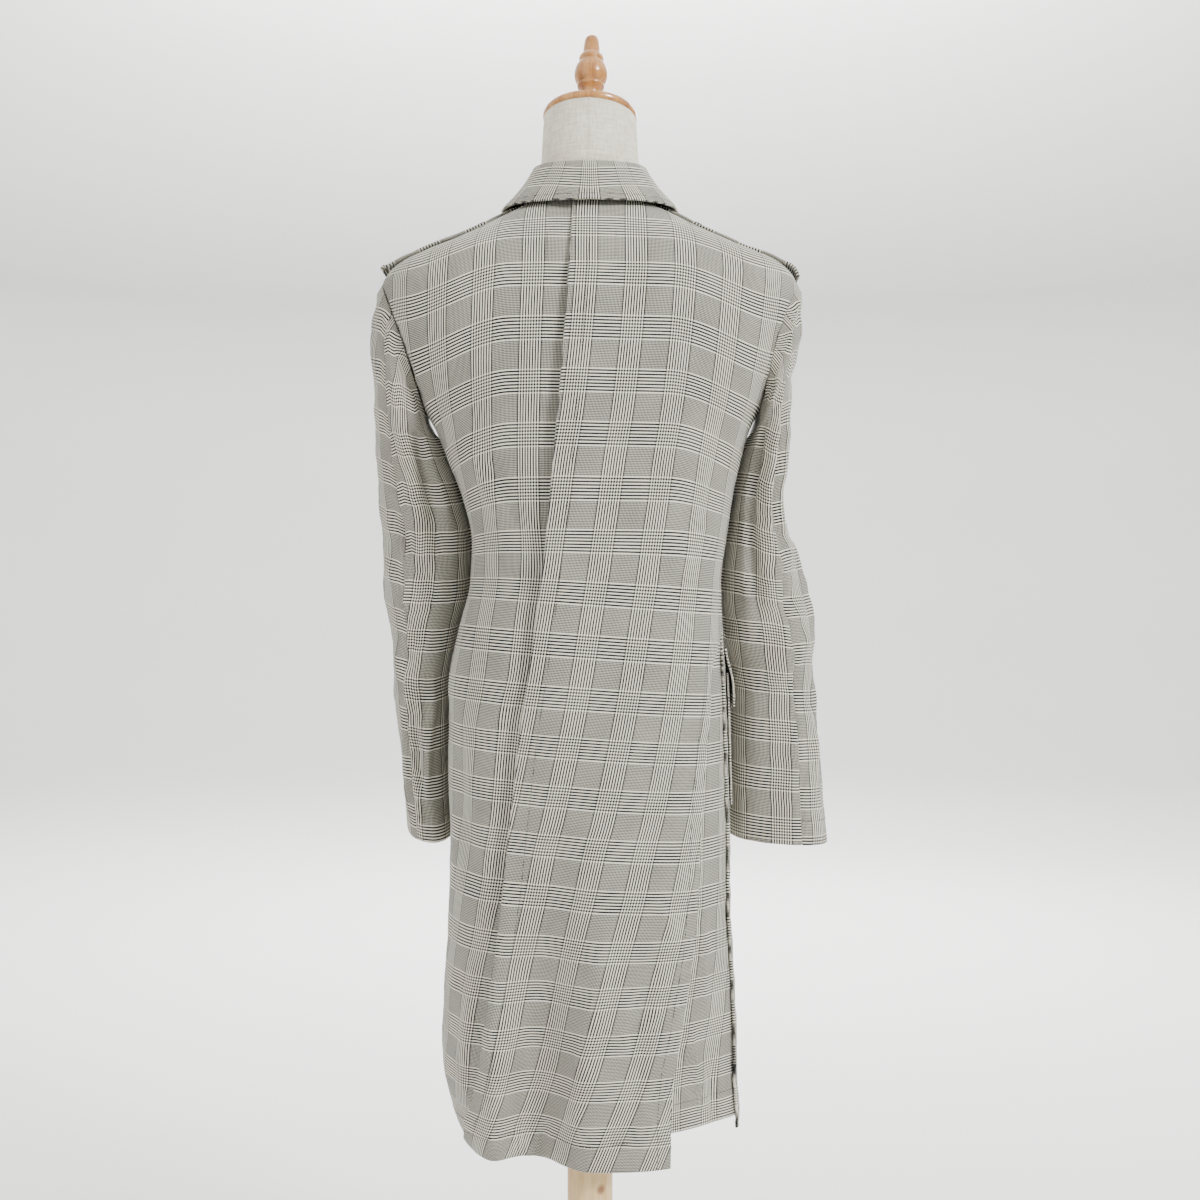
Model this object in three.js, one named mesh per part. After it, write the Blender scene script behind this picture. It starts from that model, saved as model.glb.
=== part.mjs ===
// A knee-length coat in black and cream check, on a limbless dress form with a wooden pole and base.
// Millimetres, +Z up. The coat's back faces -Y, its right-hand side as seen from behind is +X.
import * as THREE from "three";
import { mergeVertices } from "three/addons/utils/BufferGeometryUtils.js";

// Cloth
const CLOTH_WALL = 2.2;
const SLEEVE_WALL = 2;
const COLLAR_WALL = 2.5;
const SEAM_GAP = 0.3;
const SEAM_OFFSET = 0.25;

// Levels of the coat
const HEM_Z = 442;
const UNDERARM_Z = 1196;
const SHOULDER_TIP_Z = 1342;
const FRONT_NECK_Z = 1368;
const NECK_POINT_Z = 1416;
const BACK_NECK_Z = 1420;
const NECK_RIDGE_Z = 1421;
const NECK_HALF_WIDTH = 70;

// Armhole
const ARMHOLE_STEPS = 8;
const ARMHOLE_BACK_DEPTH = 56;
const ARMHOLE_FRONT_DEPTH = 50;
const ARMHOLE_OFFSET = 0.45;
const SLEEVE_BACK_SEAM = 112.5;
const SLEEVE_FRONT_SEAM = 247.5;
const SLEEVE_STEP = 15;
const SLEEVE_SEAM_TURN = 0.2;

// Roundness of a body section: 2 is an ellipse, more is squarer
const BODY_ROUNDNESS = 2.35;
const SLEEVE_ROUNDNESS = 2.25;

// Half widths and depths of the coat at each height, outside the cloth
const BODY_SECTIONS = [
  { z: 440, left: 135, right: 160, back: 141, front: 126 },
  { z: 458, left: 144, right: 159.5, back: 140.6, front: 126 },
  { z: 475, left: 149, right: 159, back: 140, front: 126 },
  { z: 520, left: 158, right: 157.5, back: 138.5, front: 126 },
  { z: 600, left: 155, right: 155, back: 136, front: 125 },
  { z: 687, left: 150.5, right: 150.5, back: 133, front: 124 },
  { z: 760, left: 149.5, right: 150, back: 130, front: 123 },
  { z: 835, left: 153, right: 148, back: 126, front: 122 },
  { z: 907, left: 152, right: 146, back: 122, front: 119 },
  { z: 960, left: 143, right: 143, back: 118, front: 115 },
  { z: 1020, left: 128.5, right: 140.5, back: 114, front: 111 },
  { z: 1062, left: 126.5, right: 146, back: 113, front: 110 },
  { z: 1110, left: 137, right: 153, back: 114, front: 112 },
  { z: 1150, left: 153, right: 162, back: 116, front: 115 },
  { z: 1178, left: 164, right: 170, back: 117, front: 117 },
  { z: 1214, left: 184, right: 188, back: 118, front: 119 },
  { z: 1259, left: 207, right: 207, back: 118, front: 120 },
  { z: 1300, left: 221, right: 219, back: 115, front: 114 },
  { z: 1330, left: 224, right: 223, back: 111, front: 105 },
  { z: 1342, left: 220, right: 220, back: 107, front: 100 },
  { z: 1355, left: 209, right: 209, back: 102, front: 94 },
  { z: 1380, left: 154, right: 154, back: 88, front: 80 },
  { z: 1400, left: 111, right: 111, back: 74, front: 67 },
  { z: 1412, left: 88, right: 88, back: 64, front: 60 },
  { z: 1421, left: 70, right: 70, back: 57, front: 56 },
];

// Folded edge of the centre-back pleat: where it runs, how far it stands off the back, and how far the
// panel beneath it is sunk
const PLEAT_EDGE = [
  { z: 440, x: -129, proud: 10, sunk: 3.6 },
  { z: 470, x: -127, proud: 9, sunk: 3.6 },
  { z: 497, x: -118, proud: 5, sunk: 3.6 },
  { z: 590, x: -101, proud: 4, sunk: 3.6 },
  { z: 663, x: -91, proud: 4, sunk: 3.6 },
  { z: 765, x: -80, proud: 4, sunk: 3.6 },
  { z: 877, x: -67, proud: 5, sunk: 3.6 },
  { z: 923, x: -60, proud: 7, sunk: 3.6 },
  { z: 1040, x: -45, proud: 9, sunk: 3.6 },
  { z: 1129, x: -36, proud: 9, sunk: 3.6 },
  { z: 1267, x: -24, proud: 7, sunk: 3.6 },
  { z: 1350, x: -19, proud: 4, sunk: 3 },
  { z: 1400, x: -17, proud: 2.2, sunk: 2.3 },
  { z: 1421, x: -16, proud: 1.7, sunk: 2.1 },
];
const PLEAT_UNDERLAP = 34;
// The pleat's hidden layer ends at this angle where the back is narrowest
const PLEAT_LIMIT = 80;
const PLEAT_SINK_REACH = 24;
const PLEAT_REACH = 70;

// Rear edge of the right back panel: the side seam above, the open vent's edge below
const VENT_EDGE = [
  { z: 440, x: 80 },
  { z: 478, x: 80 },
  { z: 529, x: 84 },
  { z: 570, x: 92 },
  { z: 642, x: 104 },
  { z: 714, x: 111 },
  { z: 760, x: 113 },
  { z: 827, x: 118 },
  { z: 883, x: 123 },
  { z: 930, x: 127 },
];
const VENT_TOP_Z = 945;
const VENT_EASE_BELOW = 20;
const VENT_EASE = 80;
const SLIT_DEPTH = 30;
const SLIT_TUCK = 5;
const VENT_UNDERLAP = 30;
const VENT_RECESS_HEM = 50;
const VENT_RECESS_TOP = 4;
const UNDERLAY_HEM_RISE = 12;
const UNDERLAY_BOW = 7;
const UNDERLAY_CLEAR = 0.9;

// Hanging folds of the lower back: depth is how far each stands out at the hem, a trough less than zero.
// A fold reaches FOLD_REACH half widths from its middle line, and fades toward the side of the section.
const FOLD_REACH = 1.8;
const FOLD_FADE = 2.2;
const BACK_FOLDS = [
  { hemX: -51, topX: -40, topZ: 900, depth: -28, halfWidth: 30 },
  { hemX: -97, topX: -70, topZ: 780, depth: 7, halfWidth: 16 },
  { hemX: 2, topX: 5, topZ: 960, depth: 9, halfWidth: 44 },
  { hemX: 72, topX: 100, topZ: 900, depth: 11, halfWidth: 34 },
];
const FRONT_FOLDS = [
  { hemX: -72, topX: -70, topZ: 900, depth: 10, halfWidth: 30 },
  { hemX: 88, topX: 72, topZ: 880, depth: 11, halfWidth: 34 },
];

// Front closure
const FRONT_OVERLAP = 22;
const FRONT_LAP_DEPTH = 3.8;
const FRONT_LAP_REACH = 45;
const FRONT_LAP_MARGIN = 2;
const BUTTON_RADIUS = 11;
const BUTTON_THICKNESS = 4;
const BUTTON_LEVELS = [1335, 1240, 1145, 1050, 955];
const BUTTON_OFF = 0.35;
const LEAN_STEP = 4;
const BUTTON_SIDES = 16;
// Radius as a share of the button's radius, height as a share of its thickness
const BUTTON_PROFILE = [
  [0, 0],
  [0.8, 0],
  [0.96, 0.25],
  [1, 0.6],
  [0.92, 1],
  [0.76, 1],
  [0.66, 0.7],
  [0, 0.7],
];

// Rings of the sleeves from the armhole to the cuff: inner and outer ends, middle and half depth along Y
const LEFT_SLEEVE = [
  { innerX: 174.5, innerZ: 1190, outerX: 228, outerZ: 1329, middleY: 0, halfDepth: 58 },
  { innerX: 171, innerZ: 1184, outerX: 232, outerZ: 1298, middleY: 4, halfDepth: 62 },
  { innerX: 167, innerZ: 1176, outerX: 233.5, outerZ: 1258, middleY: 9, halfDepth: 65 },
  { innerX: 162, innerZ: 1166, outerX: 233.5, outerZ: 1212, middleY: 18, halfDepth: 67 },
  { innerX: 155, innerZ: 1150, outerX: 233.5, outerZ: 1166, middleY: 28, halfDepth: 67 },
  { innerX: 139.5, innerZ: 1115, outerX: 232.5, outerZ: 1118, middleY: 35, halfDepth: 65 },
  { innerX: 127, innerZ: 1061, outerX: 229, outerZ: 1061, middleY: 42, halfDepth: 61 },
  { innerX: 129.5, innerZ: 1011, outerX: 227.5, outerZ: 1011, middleY: 45, halfDepth: 58 },
  { innerX: 143, innerZ: 960, outerX: 220, outerZ: 960, middleY: 48, halfDepth: 56 },
  { innerX: 152, innerZ: 900, outerX: 217.5, outerZ: 900, middleY: 50, halfDepth: 55 },
  { innerX: 153, innerZ: 830, outerX: 210.5, outerZ: 832, middleY: 53, halfDepth: 54 },
  { innerX: 149, innerZ: 749, outerX: 203, outerZ: 756, middleY: 55, halfDepth: 53 },
];
const RIGHT_SLEEVE = [
  { innerX: 179, innerZ: 1190, outerX: 227, outerZ: 1330, middleY: 0, halfDepth: 58 },
  { innerX: 176.5, innerZ: 1184, outerX: 225.5, outerZ: 1298, middleY: 4, halfDepth: 62 },
  { innerX: 173, innerZ: 1176, outerX: 218, outerZ: 1258, middleY: 9, halfDepth: 65 },
  { innerX: 169.5, innerZ: 1166, outerX: 215, outerZ: 1214, middleY: 18, halfDepth: 67 },
  { innerX: 163.5, innerZ: 1150, outerX: 212.5, outerZ: 1168, middleY: 28, halfDepth: 67 },
  { innerX: 155, innerZ: 1115, outerX: 209, outerZ: 1112, middleY: 35, halfDepth: 65 },
  { innerX: 147, innerZ: 1061, outerX: 221, outerZ: 1066, middleY: 42, halfDepth: 61 },
  { innerX: 142.5, innerZ: 1011, outerX: 234, outerZ: 1014, middleY: 45, halfDepth: 57 },
  { innerX: 147.5, innerZ: 960, outerX: 246, outerZ: 960, middleY: 49, halfDepth: 52 },
  { innerX: 155, innerZ: 900, outerX: 248.5, outerZ: 897, middleY: 52, halfDepth: 47 },
  { innerX: 155, innerZ: 830, outerX: 255.5, outerZ: 828, middleY: 50, halfDepth: 41 },
  { innerX: 155, innerZ: 742, outerX: 263, outerZ: 734, middleY: 46, halfDepth: 35 },
];
const LEFT_CUFF_DROP = 14;
const RIGHT_CUFF_DROP = 3;
const CUFF_DROP_RINGS = 3;

// Rings of the turned collar over the neckline: half width, depth to the back and front, heights there
const COLLAR_RINGS = [
  { side: 60, back: 52.5, front: 66, sideZ: 1444, backZ: 1440, frontZ: 1393 },
  { side: 56.8, back: 52.5, front: 61, sideZ: 1456, backZ: 1451, frontZ: 1414 },
  { side: 58, back: 54, front: 61.5, sideZ: 1461.5, backZ: 1456, frontZ: 1419 },
  { side: 61.5, back: 57.3, front: 65, sideZ: 1462.5, backZ: 1457, frontZ: 1419.5 },
  { side: 63.8, back: 60.5, front: 69, sideZ: 1458.5, backZ: 1453.5, frontZ: 1414 },
  { side: 75.5, back: 68, front: 80, sideZ: 1441, backZ: 1435, frontZ: 1386, over: true },
  { side: 95.5, back: 77, front: 92, sideZ: 1418.6, backZ: 1412.5, frontZ: 1348, over: true },
];
const COLLAR_FRONT_GAP = 5;
const COLLAR_CLEAR = 6;
const COLLAR_COLUMNS = 36;
const NECK_SEAM_INSET = 0.2;
const NECK_SEAM_RISE = 2;
const NECKLINE_INSET = 0.5;
const NECKLINE_HALVINGS = 30;
const NECKLINE_CLEAR = 0.6;

// Shoulder straps
const STRAP_WALL = 2.4;
const STRAP_HALF_WIDTH = 23;
const STRAP_LIFT = {
  left: [
    { x: 76, lift: 3.4 },
    { x: 110, lift: 3.4 },
    { x: 140, lift: 4.2 },
    { x: 170, lift: 5.4 },
    { x: 190, lift: 4.8 },
    { x: 205, lift: 4.8 },
    { x: 216, lift: 6.5 },
    { x: 229, lift: 21 },
  ],
  right: [
    { x: 76, lift: 3.4 },
    { x: 110, lift: 3.4 },
    { x: 170, lift: 3.6 },
    { x: 190, lift: 4.2 },
    { x: 205, lift: 5 },
    { x: 224, lift: 13 },
  ],
};
const STRAP_TAPER = 0.82;
const STRAP_TAPER_REACH = 60;
const STRAP_POINT = 0.7;
const STRAP_POINT_REACH = 10;
const SHOULDER_FALL = 0.47;
const SHOULDER_FROM_Z = 1330;
const STRAP_BUTTON_X = 116;
const STRAP_BUTTON_RADIUS = 8;
const STRAP_BUTTON_THICKNESS = 3;

// Patch pockets on the side fronts: where their back and front edges lie, and how far each stands off
const POCKET_WALL = 2.2;
const POCKET_TOP_Z = 922;
const POCKET_BOTTOM_Z = 782;
const POCKET_LIFT = 3.2;
const FLAP_TOP_Z = 948;
const FLAP_BOTTOM_Z = 886;
const FLAP_TOP_LIFT = 3.2;
const FLAP_MARGIN = 1.2;
const FLAP_STAND_SHARE = 0.375;
const POCKETS = {
  right: { side: 1, backAngle: 84, frontAngle: 140, swell: 3.5, flapLift: 8.8 },
  left: { side: -1, backAngle: 112, frontAngle: 166, swell: 0.6, flapLift: 6.6 },
};

// Dress form
const FORM_ROUNDNESS = 2.25;
const FORM_SECTIONS = [
  { z: 640, half: 124, back: 96, front: 94 },
  { z: 655, half: 130, back: 101, front: 99 },
  { z: 740, half: 133, back: 105, front: 102 },
  { z: 850, half: 132, back: 105, front: 103 },
  { z: 960, half: 121, back: 99, front: 97 },
  { z: 1020, half: 112, back: 95, front: 93 },
  { z: 1062, half: 110, back: 94, front: 92 },
  { z: 1110, half: 118, back: 96, front: 96 },
  { z: 1178, half: 143, back: 101, front: 105 },
  { z: 1214, half: 157, back: 103, front: 108 },
  { z: 1259, half: 170, back: 103, front: 108 },
  { z: 1300, half: 180, back: 102, front: 102 },
  { z: 1332, half: 186, back: 99, front: 93 },
  { z: 1350, half: 186, back: 96, front: 88 },
  { z: 1364, half: 178, back: 90, front: 82 },
  { z: 1380, half: 146.8, back: 81, front: 73 },
  { z: 1400, half: 103.6, back: 66.5, front: 60.5 },
  { z: 1412, half: 80.4, back: 57.5, front: 54.5 },
  { z: 1421, half: 63, back: 51.2, front: 51 },
  { z: 1432, half: 57, back: 49.5, front: 50.5 },
  { z: 1450, half: 54, back: 49.2, front: 50 },
  { z: 1475, half: 52.3, back: 49, front: 49.5 },
  { z: 1500, half: 51, back: 48, front: 48.5 },
];
const FORM_SIDES = 30;
const FORM_NECK_Z = 1400;
const FORM_NECK_REACH = 40;
const NECK_BEND_Z = 1490;
const NECK_BEND_SHARE = 0.25;
const NECK_TOP_Z = 1516;
const NECK_TOP_HALF = 49.5;

// Neck cap and finial, tilted with the top of the neck
const CAP_TILT = 12;
const CAP_ROLL = 1.2;
const CAP_SIDES = 36;
const FINIAL_SIDES = 20;
const CAP_PROFILE = [
  [0, 0],
  [49.5, 0],
  [50.6, 1.5],
  [51, 4.5],
  [50, 7.5],
  [44, 10],
  [30, 12],
  [0, 13],
];
const FINIAL_PROFILE = [
  [0, 13.3],
  [19, 13.3],
  [19, 16],
  [13, 20],
  [9.5, 29],
  [10.5, 36],
  [14.5, 40],
  [15, 42.5],
  [13.5, 44],
  [16.5, 47.5],
  [18.3, 53],
  [18.5, 59],
  [17, 65],
  [13.5, 70],
  [12.3, 71.5],
  [13.6, 73.5],
  [13.4, 77],
  [11, 79.5],
  [9.6, 81],
  [9.2, 88],
  [8, 97],
  [6.4, 101],
  [0, 102.5],
];

// Stand
const POLE_RADIUS = 24.3;
const POLE_SIDES = 32;
const BASE_SIDES = 48;
const BASE_PROFILE = [
  [0, 0],
  [186, 0],
  [190, 4],
  [190, 18],
  [184, 25],
  [150, 30],
  [70, 34],
  [48, 38],
  [44, 52],
  [34, 60],
  [0, 60],
];
const BASE_HEIGHT = 60;

const CLOTH_COLOUR = 0x8b8a83;
const LINEN_COLOUR = 0xd9d3c4;
const WOOD_COLOUR = 0xc98d4a;
const POLE_COLOUR = 0xdcb880;
const BUTTON_COLOUR = 0x1d1b1a;

const rad = (degrees) => (degrees * Math.PI) / 180;
const mix = (a, b, t) => a + (b - a) * t;
const smooth = (t) => {
  const k = Math.min(1, Math.max(0, t));
  return k * k * (3 - 2 * k);
};
const power = (value, exponent) => Math.sign(value) * Math.abs(value) ** exponent;

// A smooth curve through one column of a table, read at a value of its key column. It never passes
// beyond the values of the rows beside it.
function column(rows, name, key = "z") {
  const at = rows.map((row) => row[key]);
  const value = rows.map((row) => row[name]);
  const slope = at.slice(1).map((x, i) => (value[i + 1] - value[i]) / (x - at[i]));
  const tangent = value.map((_, i) => {
    const before = slope[Math.max(0, i - 1)];
    const after = slope[Math.min(slope.length - 1, i)];
    return before * after > 0 ? (2 * before * after) / (before + after) : 0;
  });
  return (x) => {
    const k = Math.min(Math.max(x, at[0]), at[at.length - 1]);
    let i = 0;
    while (i < at.length - 2 && k > at[i + 1]) i += 1;
    const step = at[i + 1] - at[i];
    const s = (k - at[i]) / step;
    const rise = tangent[i] * step;
    const fall = tangent[i + 1] * step;
    return (
      value[i] * (1 + 2 * s) * (1 - s) ** 2 +
      rise * s * (1 - s) ** 2 +
      value[i + 1] * s * s * (3 - 2 * s) +
      fall * s * s * (s - 1)
    );
  };
}

const bodyLeft = column(BODY_SECTIONS, "left");
const bodyRight = column(BODY_SECTIONS, "right");
const bodyBack = column(BODY_SECTIONS, "back");
const bodyFront = column(BODY_SECTIONS, "front");
const pleatX = column(PLEAT_EDGE, "x");
const pleatProud = column(PLEAT_EDGE, "proud");
const pleatSunk = column(PLEAT_EDGE, "sunk");
const ventX = column(VENT_EDGE, "x");

// How far the folds of one face stand out at x and z.
function foldDepth(folds, x, z) {
  return folds.reduce((sum, fold) => {
    const down = (fold.topZ - z) / (fold.topZ - HEM_Z);
    if (down <= 0) return sum;
    const middle = mix(fold.topX, fold.hemX, down);
    const across = Math.abs(x - middle) / fold.halfWidth;
    if (across >= FOLD_REACH) return sum;
    return sum + fold.depth * smooth(down) * Math.cos((across * Math.PI) / (2 * FOLD_REACH)) ** 2;
  }, 0);
}

// A point of the coat's outer form. The angle is 0 at the centre back, 90 at the right side, 180 in front.
function bodyPoint(angle, z, out = 0) {
  const sine = Math.sin(rad(angle));
  const cosine = Math.cos(rad(angle));
  const half = (sine < 0 ? bodyLeft(z) : bodyRight(z)) + out;
  const depth = (cosine > 0 ? bodyBack(z) : bodyFront(z)) + out;
  const exponent = 2 / BODY_ROUNDNESS;
  const x = half * power(sine, exponent);
  const folds = cosine > 0 ? BACK_FOLDS : FRONT_FOLDS;
  const fold = foldDepth(folds, x, z) * smooth(Math.abs(cosine) * FOLD_FADE);
  const y = -(depth * power(cosine, exponent) + Math.sign(cosine) * fold);
  return new THREE.Vector3(x, y, z);
}

// The angle, from 0 to 90, at which the section at z reaches x, or stands y off the side line.
function angleAtX(x, z) {
  const half = x < 0 ? bodyLeft(z) : bodyRight(z);
  const sine = Math.min(1, Math.abs(x) / half) ** (BODY_ROUNDNESS / 2);
  return (Math.sign(x) * Math.asin(sine) * 180) / Math.PI;
}
function angleFromSide(y, depth) {
  const cosine = Math.min(1, y / depth) ** (BODY_ROUNDNESS / 2);
  return (Math.acos(cosine) * 180) / Math.PI;
}

const armholeMiddle = (UNDERARM_Z + SHOULDER_TIP_Z) / 2;
const armholeHalf = (SHOULDER_TIP_Z - UNDERARM_Z) / 2;

// Armhole edge of a panel: step 0 is the underarm, the last step the shoulder tip.
function armholeRow(step, back) {
  const turn = rad((180 * step) / ARMHOLE_STEPS);
  const z = armholeMiddle - armholeHalf * Math.cos(turn);
  const reach = (back ? ARMHOLE_BACK_DEPTH : ARMHOLE_FRONT_DEPTH) * Math.sin(turn);
  const off = Math.max(reach, SEAM_OFFSET);
  return { z, angle: angleFromSide(off, back ? bodyBack(z) : bodyFront(z)) };
}

// Heights of a panel's rows: down the skirt, up the armhole and over the shoulder.
function panelRows(back, skirtRows, shoulderLevels) {
  const rows = [];
  for (let i = 0; i < skirtRows; i += 1) {
    const z = mix(HEM_Z, UNDERARM_Z, i / skirtRows);
    rows.push({ z, angle: angleFromSide(SEAM_OFFSET, back ? bodyBack(z) : bodyFront(z)) });
  }
  for (let step = 0; step <= ARMHOLE_STEPS; step += 1) rows.push(armholeRow(step, back));
  for (const z of shoulderLevels) {
    rows.push({ z, angle: angleFromSide(SEAM_OFFSET, back ? bodyBack(z) : bodyFront(z)) });
  }
  return rows;
}

// A closed thin wall over a grid of outer points, its inner face laid inside along the grid's own normals.
// Rows run up and columns to the right as seen from outside. Spare columns only steady the normals.
function wallFromGrid(spareGrid, wall, spare = 0) {
  const rowCount = spareGrid.length;
  const allColumns = spareGrid[0].length;
  const trim = (row) => row.slice(spare, allColumns - spare);
  const inner = spareGrid.map((row, j) =>
    trim(
      row.map((point, i) => {
        const above = spareGrid[Math.min(rowCount - 1, j + 1)][i];
        const below = spareGrid[Math.max(0, j - 1)][i];
        const across = row[Math.min(allColumns - 1, i + 1)].clone().sub(row[Math.max(0, i - 1)]);
        const normal = across.cross(above.clone().sub(below)).normalize();
        return point.clone().addScaledVector(normal, -wall);
      }),
    ),
  );
  const grid = spareGrid.map(trim);
  const columnCount = grid[0].length;
  const points = [...grid.flat(), ...inner.flat()];
  const count = rowCount * columnCount;
  const faces = [];
  const quad = (a, b, c, d) => faces.push(a, b, c, a, c, d);
  for (let j = 0; j < rowCount - 1; j += 1) {
    for (let i = 0; i < columnCount - 1; i += 1) {
      const a = j * columnCount + i;
      const b = a + 1;
      const c = b + columnCount;
      const d = a + columnCount;
      quad(a, b, c, d);
      quad(count + b, count + a, count + d, count + c);
    }
  }
  const top = (rowCount - 1) * columnCount;
  for (let i = 0; i < columnCount - 1; i += 1) {
    quad(i + 1, i, count + i, count + i + 1);
    quad(top + i, top + i + 1, count + top + i + 1, count + top + i);
  }
  for (let j = 0; j < rowCount - 1; j += 1) {
    const a = j * columnCount;
    const b = a + columnCount - 1;
    quad(a, a + columnCount, count + a + columnCount, count + a);
    quad(b, count + b, count + b + columnCount, b + columnCount);
  }
  return geometryFrom(points, faces);
}

// A closed solid through rings of points, the first ring lowest, each closed by a fan to its middle.
function solidFromRings(rings) {
  const sides = rings[0].length;
  const points = rings.flat();
  const faces = [];
  for (let j = 0; j < rings.length - 1; j += 1) {
    for (let i = 0; i < sides; i += 1) {
      const next = (i + 1) % sides;
      const a = j * sides + i;
      const b = j * sides + next;
      faces.push(a, b, b + sides, a, b + sides, a + sides);
    }
  }
  const middle = (ring) => ring.reduce((sum, p) => sum.add(p), new THREE.Vector3()).divideScalar(sides);
  const low = points.push(middle(rings[0])) - 1;
  const high = points.push(middle(rings[rings.length - 1])) - 1;
  const top = (rings.length - 1) * sides;
  for (let i = 0; i < sides; i += 1) {
    const next = (i + 1) % sides;
    faces.push(low, next, i);
    faces.push(high, top + i, top + next);
  }
  return geometryFrom(points, faces);
}

function geometryFrom(points, faces) {
  const geometry = new THREE.BufferGeometry();
  const numbers = points.flatMap((point) => point.toArray());
  geometry.setAttribute("position", new THREE.Float32BufferAttribute(numbers, 3));
  geometry.setIndex(faces);
  const merged = mergeVertices(geometry, 1e-4);
  merged.computeVertexNormals();
  return merged;
}

// A turned solid from a profile of radius and height pairs, standing up along Z.
function turned(profile, sides) {
  const outline = profile.map(([radius, height]) => new THREE.Vector2(radius, height));
  return new THREE.LatheGeometry(outline, sides).rotateX(Math.PI / 2);
}

const cloth = () => new THREE.MeshStandardMaterial({ color: CLOTH_COLOUR, roughness: 0.92, metalness: 0 });
const wood = () => new THREE.MeshStandardMaterial({ color: WOOD_COLOUR, roughness: 0.35, metalness: 0 });

function named(name, geometry, material) {
  const mesh = new THREE.Mesh(geometry, material);
  mesh.name = name;
  return mesh;
}

const SKIRT_ROWS = 15;
const BACK_SHOULDER_LEVELS = [1355, 1367, 1380, 1392, 1404, 1413, BACK_NECK_Z];
const FRONT_SHOULDER_LEVELS = [1355, FRONT_NECK_Z, 1372, 1380, 1392, 1404, NECK_POINT_Z];

// How far the left back panel sinks beside and under the pleat.
function pleatSink(x, z) {
  return pleatSunk(z) * smooth(1 - (pleatX(z) - x) / PLEAT_SINK_REACH);
}

// How far the right back panel stands off near the pleat's folded edge.
function pleatStand(x, z) {
  return pleatProud(z) * (1 - smooth((x - pleatX(z)) / PLEAT_REACH));
}

function backLeft() {
  const columns = 10;
  const grid = panelRows(true, SKIRT_ROWS, BACK_SHOULDER_LEVELS).map(({ z, angle }) => {
    const inside = Math.min(angleAtX(pleatX(z) + PLEAT_UNDERLAP, z), PLEAT_LIMIT);
    return Array.from({ length: columns + 1 }, (_, i) => {
      const at = mix(-angle, inside, i / columns);
      const point = bodyPoint(at, z);
      point.y += pleatSink(point.x, z) * smooth(Math.cos(rad(at)) * FOLD_FADE);
      return point;
    });
  });
  return wallFromGrid(grid, CLOTH_WALL);
}

// How far the vent has closed into the side seam at a height: 0 where it is open, 1 where it is sewn.
const ventClosed = (z) => smooth((z - VENT_TOP_Z + VENT_EASE_BELOW) / VENT_EASE);

// The right edge of the right back panel at one row, as an angle: seam, or the vent's edge below its top.
function backRightEdge({ z, angle }) {
  return mix(angleAtX(ventX(z), z), angle, ventClosed(z));
}

function backRight() {
  const columns = 16;
  const grid = panelRows(true, SKIRT_ROWS, BACK_SHOULDER_LEVELS).map((row) => {
    const { z } = row;
    const start = angleAtX(pleatX(z), z);
    const end = backRightEdge(row);
    return Array.from({ length: columns + 1 }, (_, i) => {
      const point = bodyPoint(mix(start, end, i / columns), z);
      point.y -= pleatStand(point.x, z);
      return point;
    });
  });
  return wallFromGrid(grid, CLOTH_WALL);
}

// The plan line of the vent's underlay: from under the back panel to under the edge of the right front.
function ventUnderlay() {
  const columns = 6;
  const rows = 11;
  const grid = Array.from({ length: rows + 1 }, (_, j) => {
    const z = mix(HEM_Z + UNDERLAY_HEM_RISE, VENT_TOP_Z, j / rows);
    const down = 1 - j / rows;
    const recess = mix(VENT_RECESS_TOP, VENT_RECESS_HEM, smooth(down));
    const hidden = bodyPoint(angleAtX(ventX(z) - VENT_UNDERLAP, z), z);
    hidden.y += recess;
    const tucked = angleFromSide(SLIT_DEPTH - SLIT_TUCK, bodyBack(z));
    const outer = bodyPoint(tucked, z, -CLOTH_WALL - UNDERLAY_CLEAR);
    const bow = hidden.clone().lerp(outer, 0.5).add(new THREE.Vector3(UNDERLAY_BOW, -UNDERLAY_BOW, 0));
    return Array.from({ length: columns + 1 }, (_, i) => {
      const s = i / columns;
      const first = hidden.clone().lerp(bow, s);
      const second = bow.clone().lerp(outer, s);
      return first.lerp(second, s);
    });
  });
  return wallFromGrid(grid, CLOTH_WALL);
}

// The neckline's half width on the front at height z.
function frontNeckX(z) {
  const down = (NECK_RIDGE_Z - z) / (NECK_RIDGE_Z - FRONT_NECK_Z);
  return NECK_HALF_WIDTH * Math.sqrt(Math.max(0, 1 - down * down));
}

// The side edge of a front at one row: the side seam, or on the right the edge over the vent.
function frontSideAngle({ z, angle }, right) {
  if (!right) return angle;
  return mix(180 - angleFromSide(SLIT_DEPTH, bodyBack(z)), angle, ventClosed(z));
}

function frontPanel(right) {
  const columns = 10;
  const side = right ? 1 : -1;
  const grid = panelRows(false, SKIRT_ROWS, FRONT_SHOULDER_LEVELS).map((row) => {
    const { z } = row;
    const centre = z > FRONT_NECK_Z ? side * frontNeckX(z) : -side * FRONT_OVERLAP;
    const inside = side * angleAtX(side * centre, z);
    const edge = frontSideAngle(row, right);
    const line = Array.from({ length: columns + 1 }, (_, i) => {
      const fromCentre = mix(inside * side, edge, i / columns);
      const point = bodyPoint(side * (180 - fromCentre), z);
      const under = 1 + (point.x + FRONT_OVERLAP + FRONT_LAP_MARGIN) / FRONT_LAP_REACH;
      if (!right) point.y -= FRONT_LAP_DEPTH * smooth(under);
      return point;
    });
    return right ? line.reverse() : line;
  });
  return wallFromGrid(grid, CLOTH_WALL);
}

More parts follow.
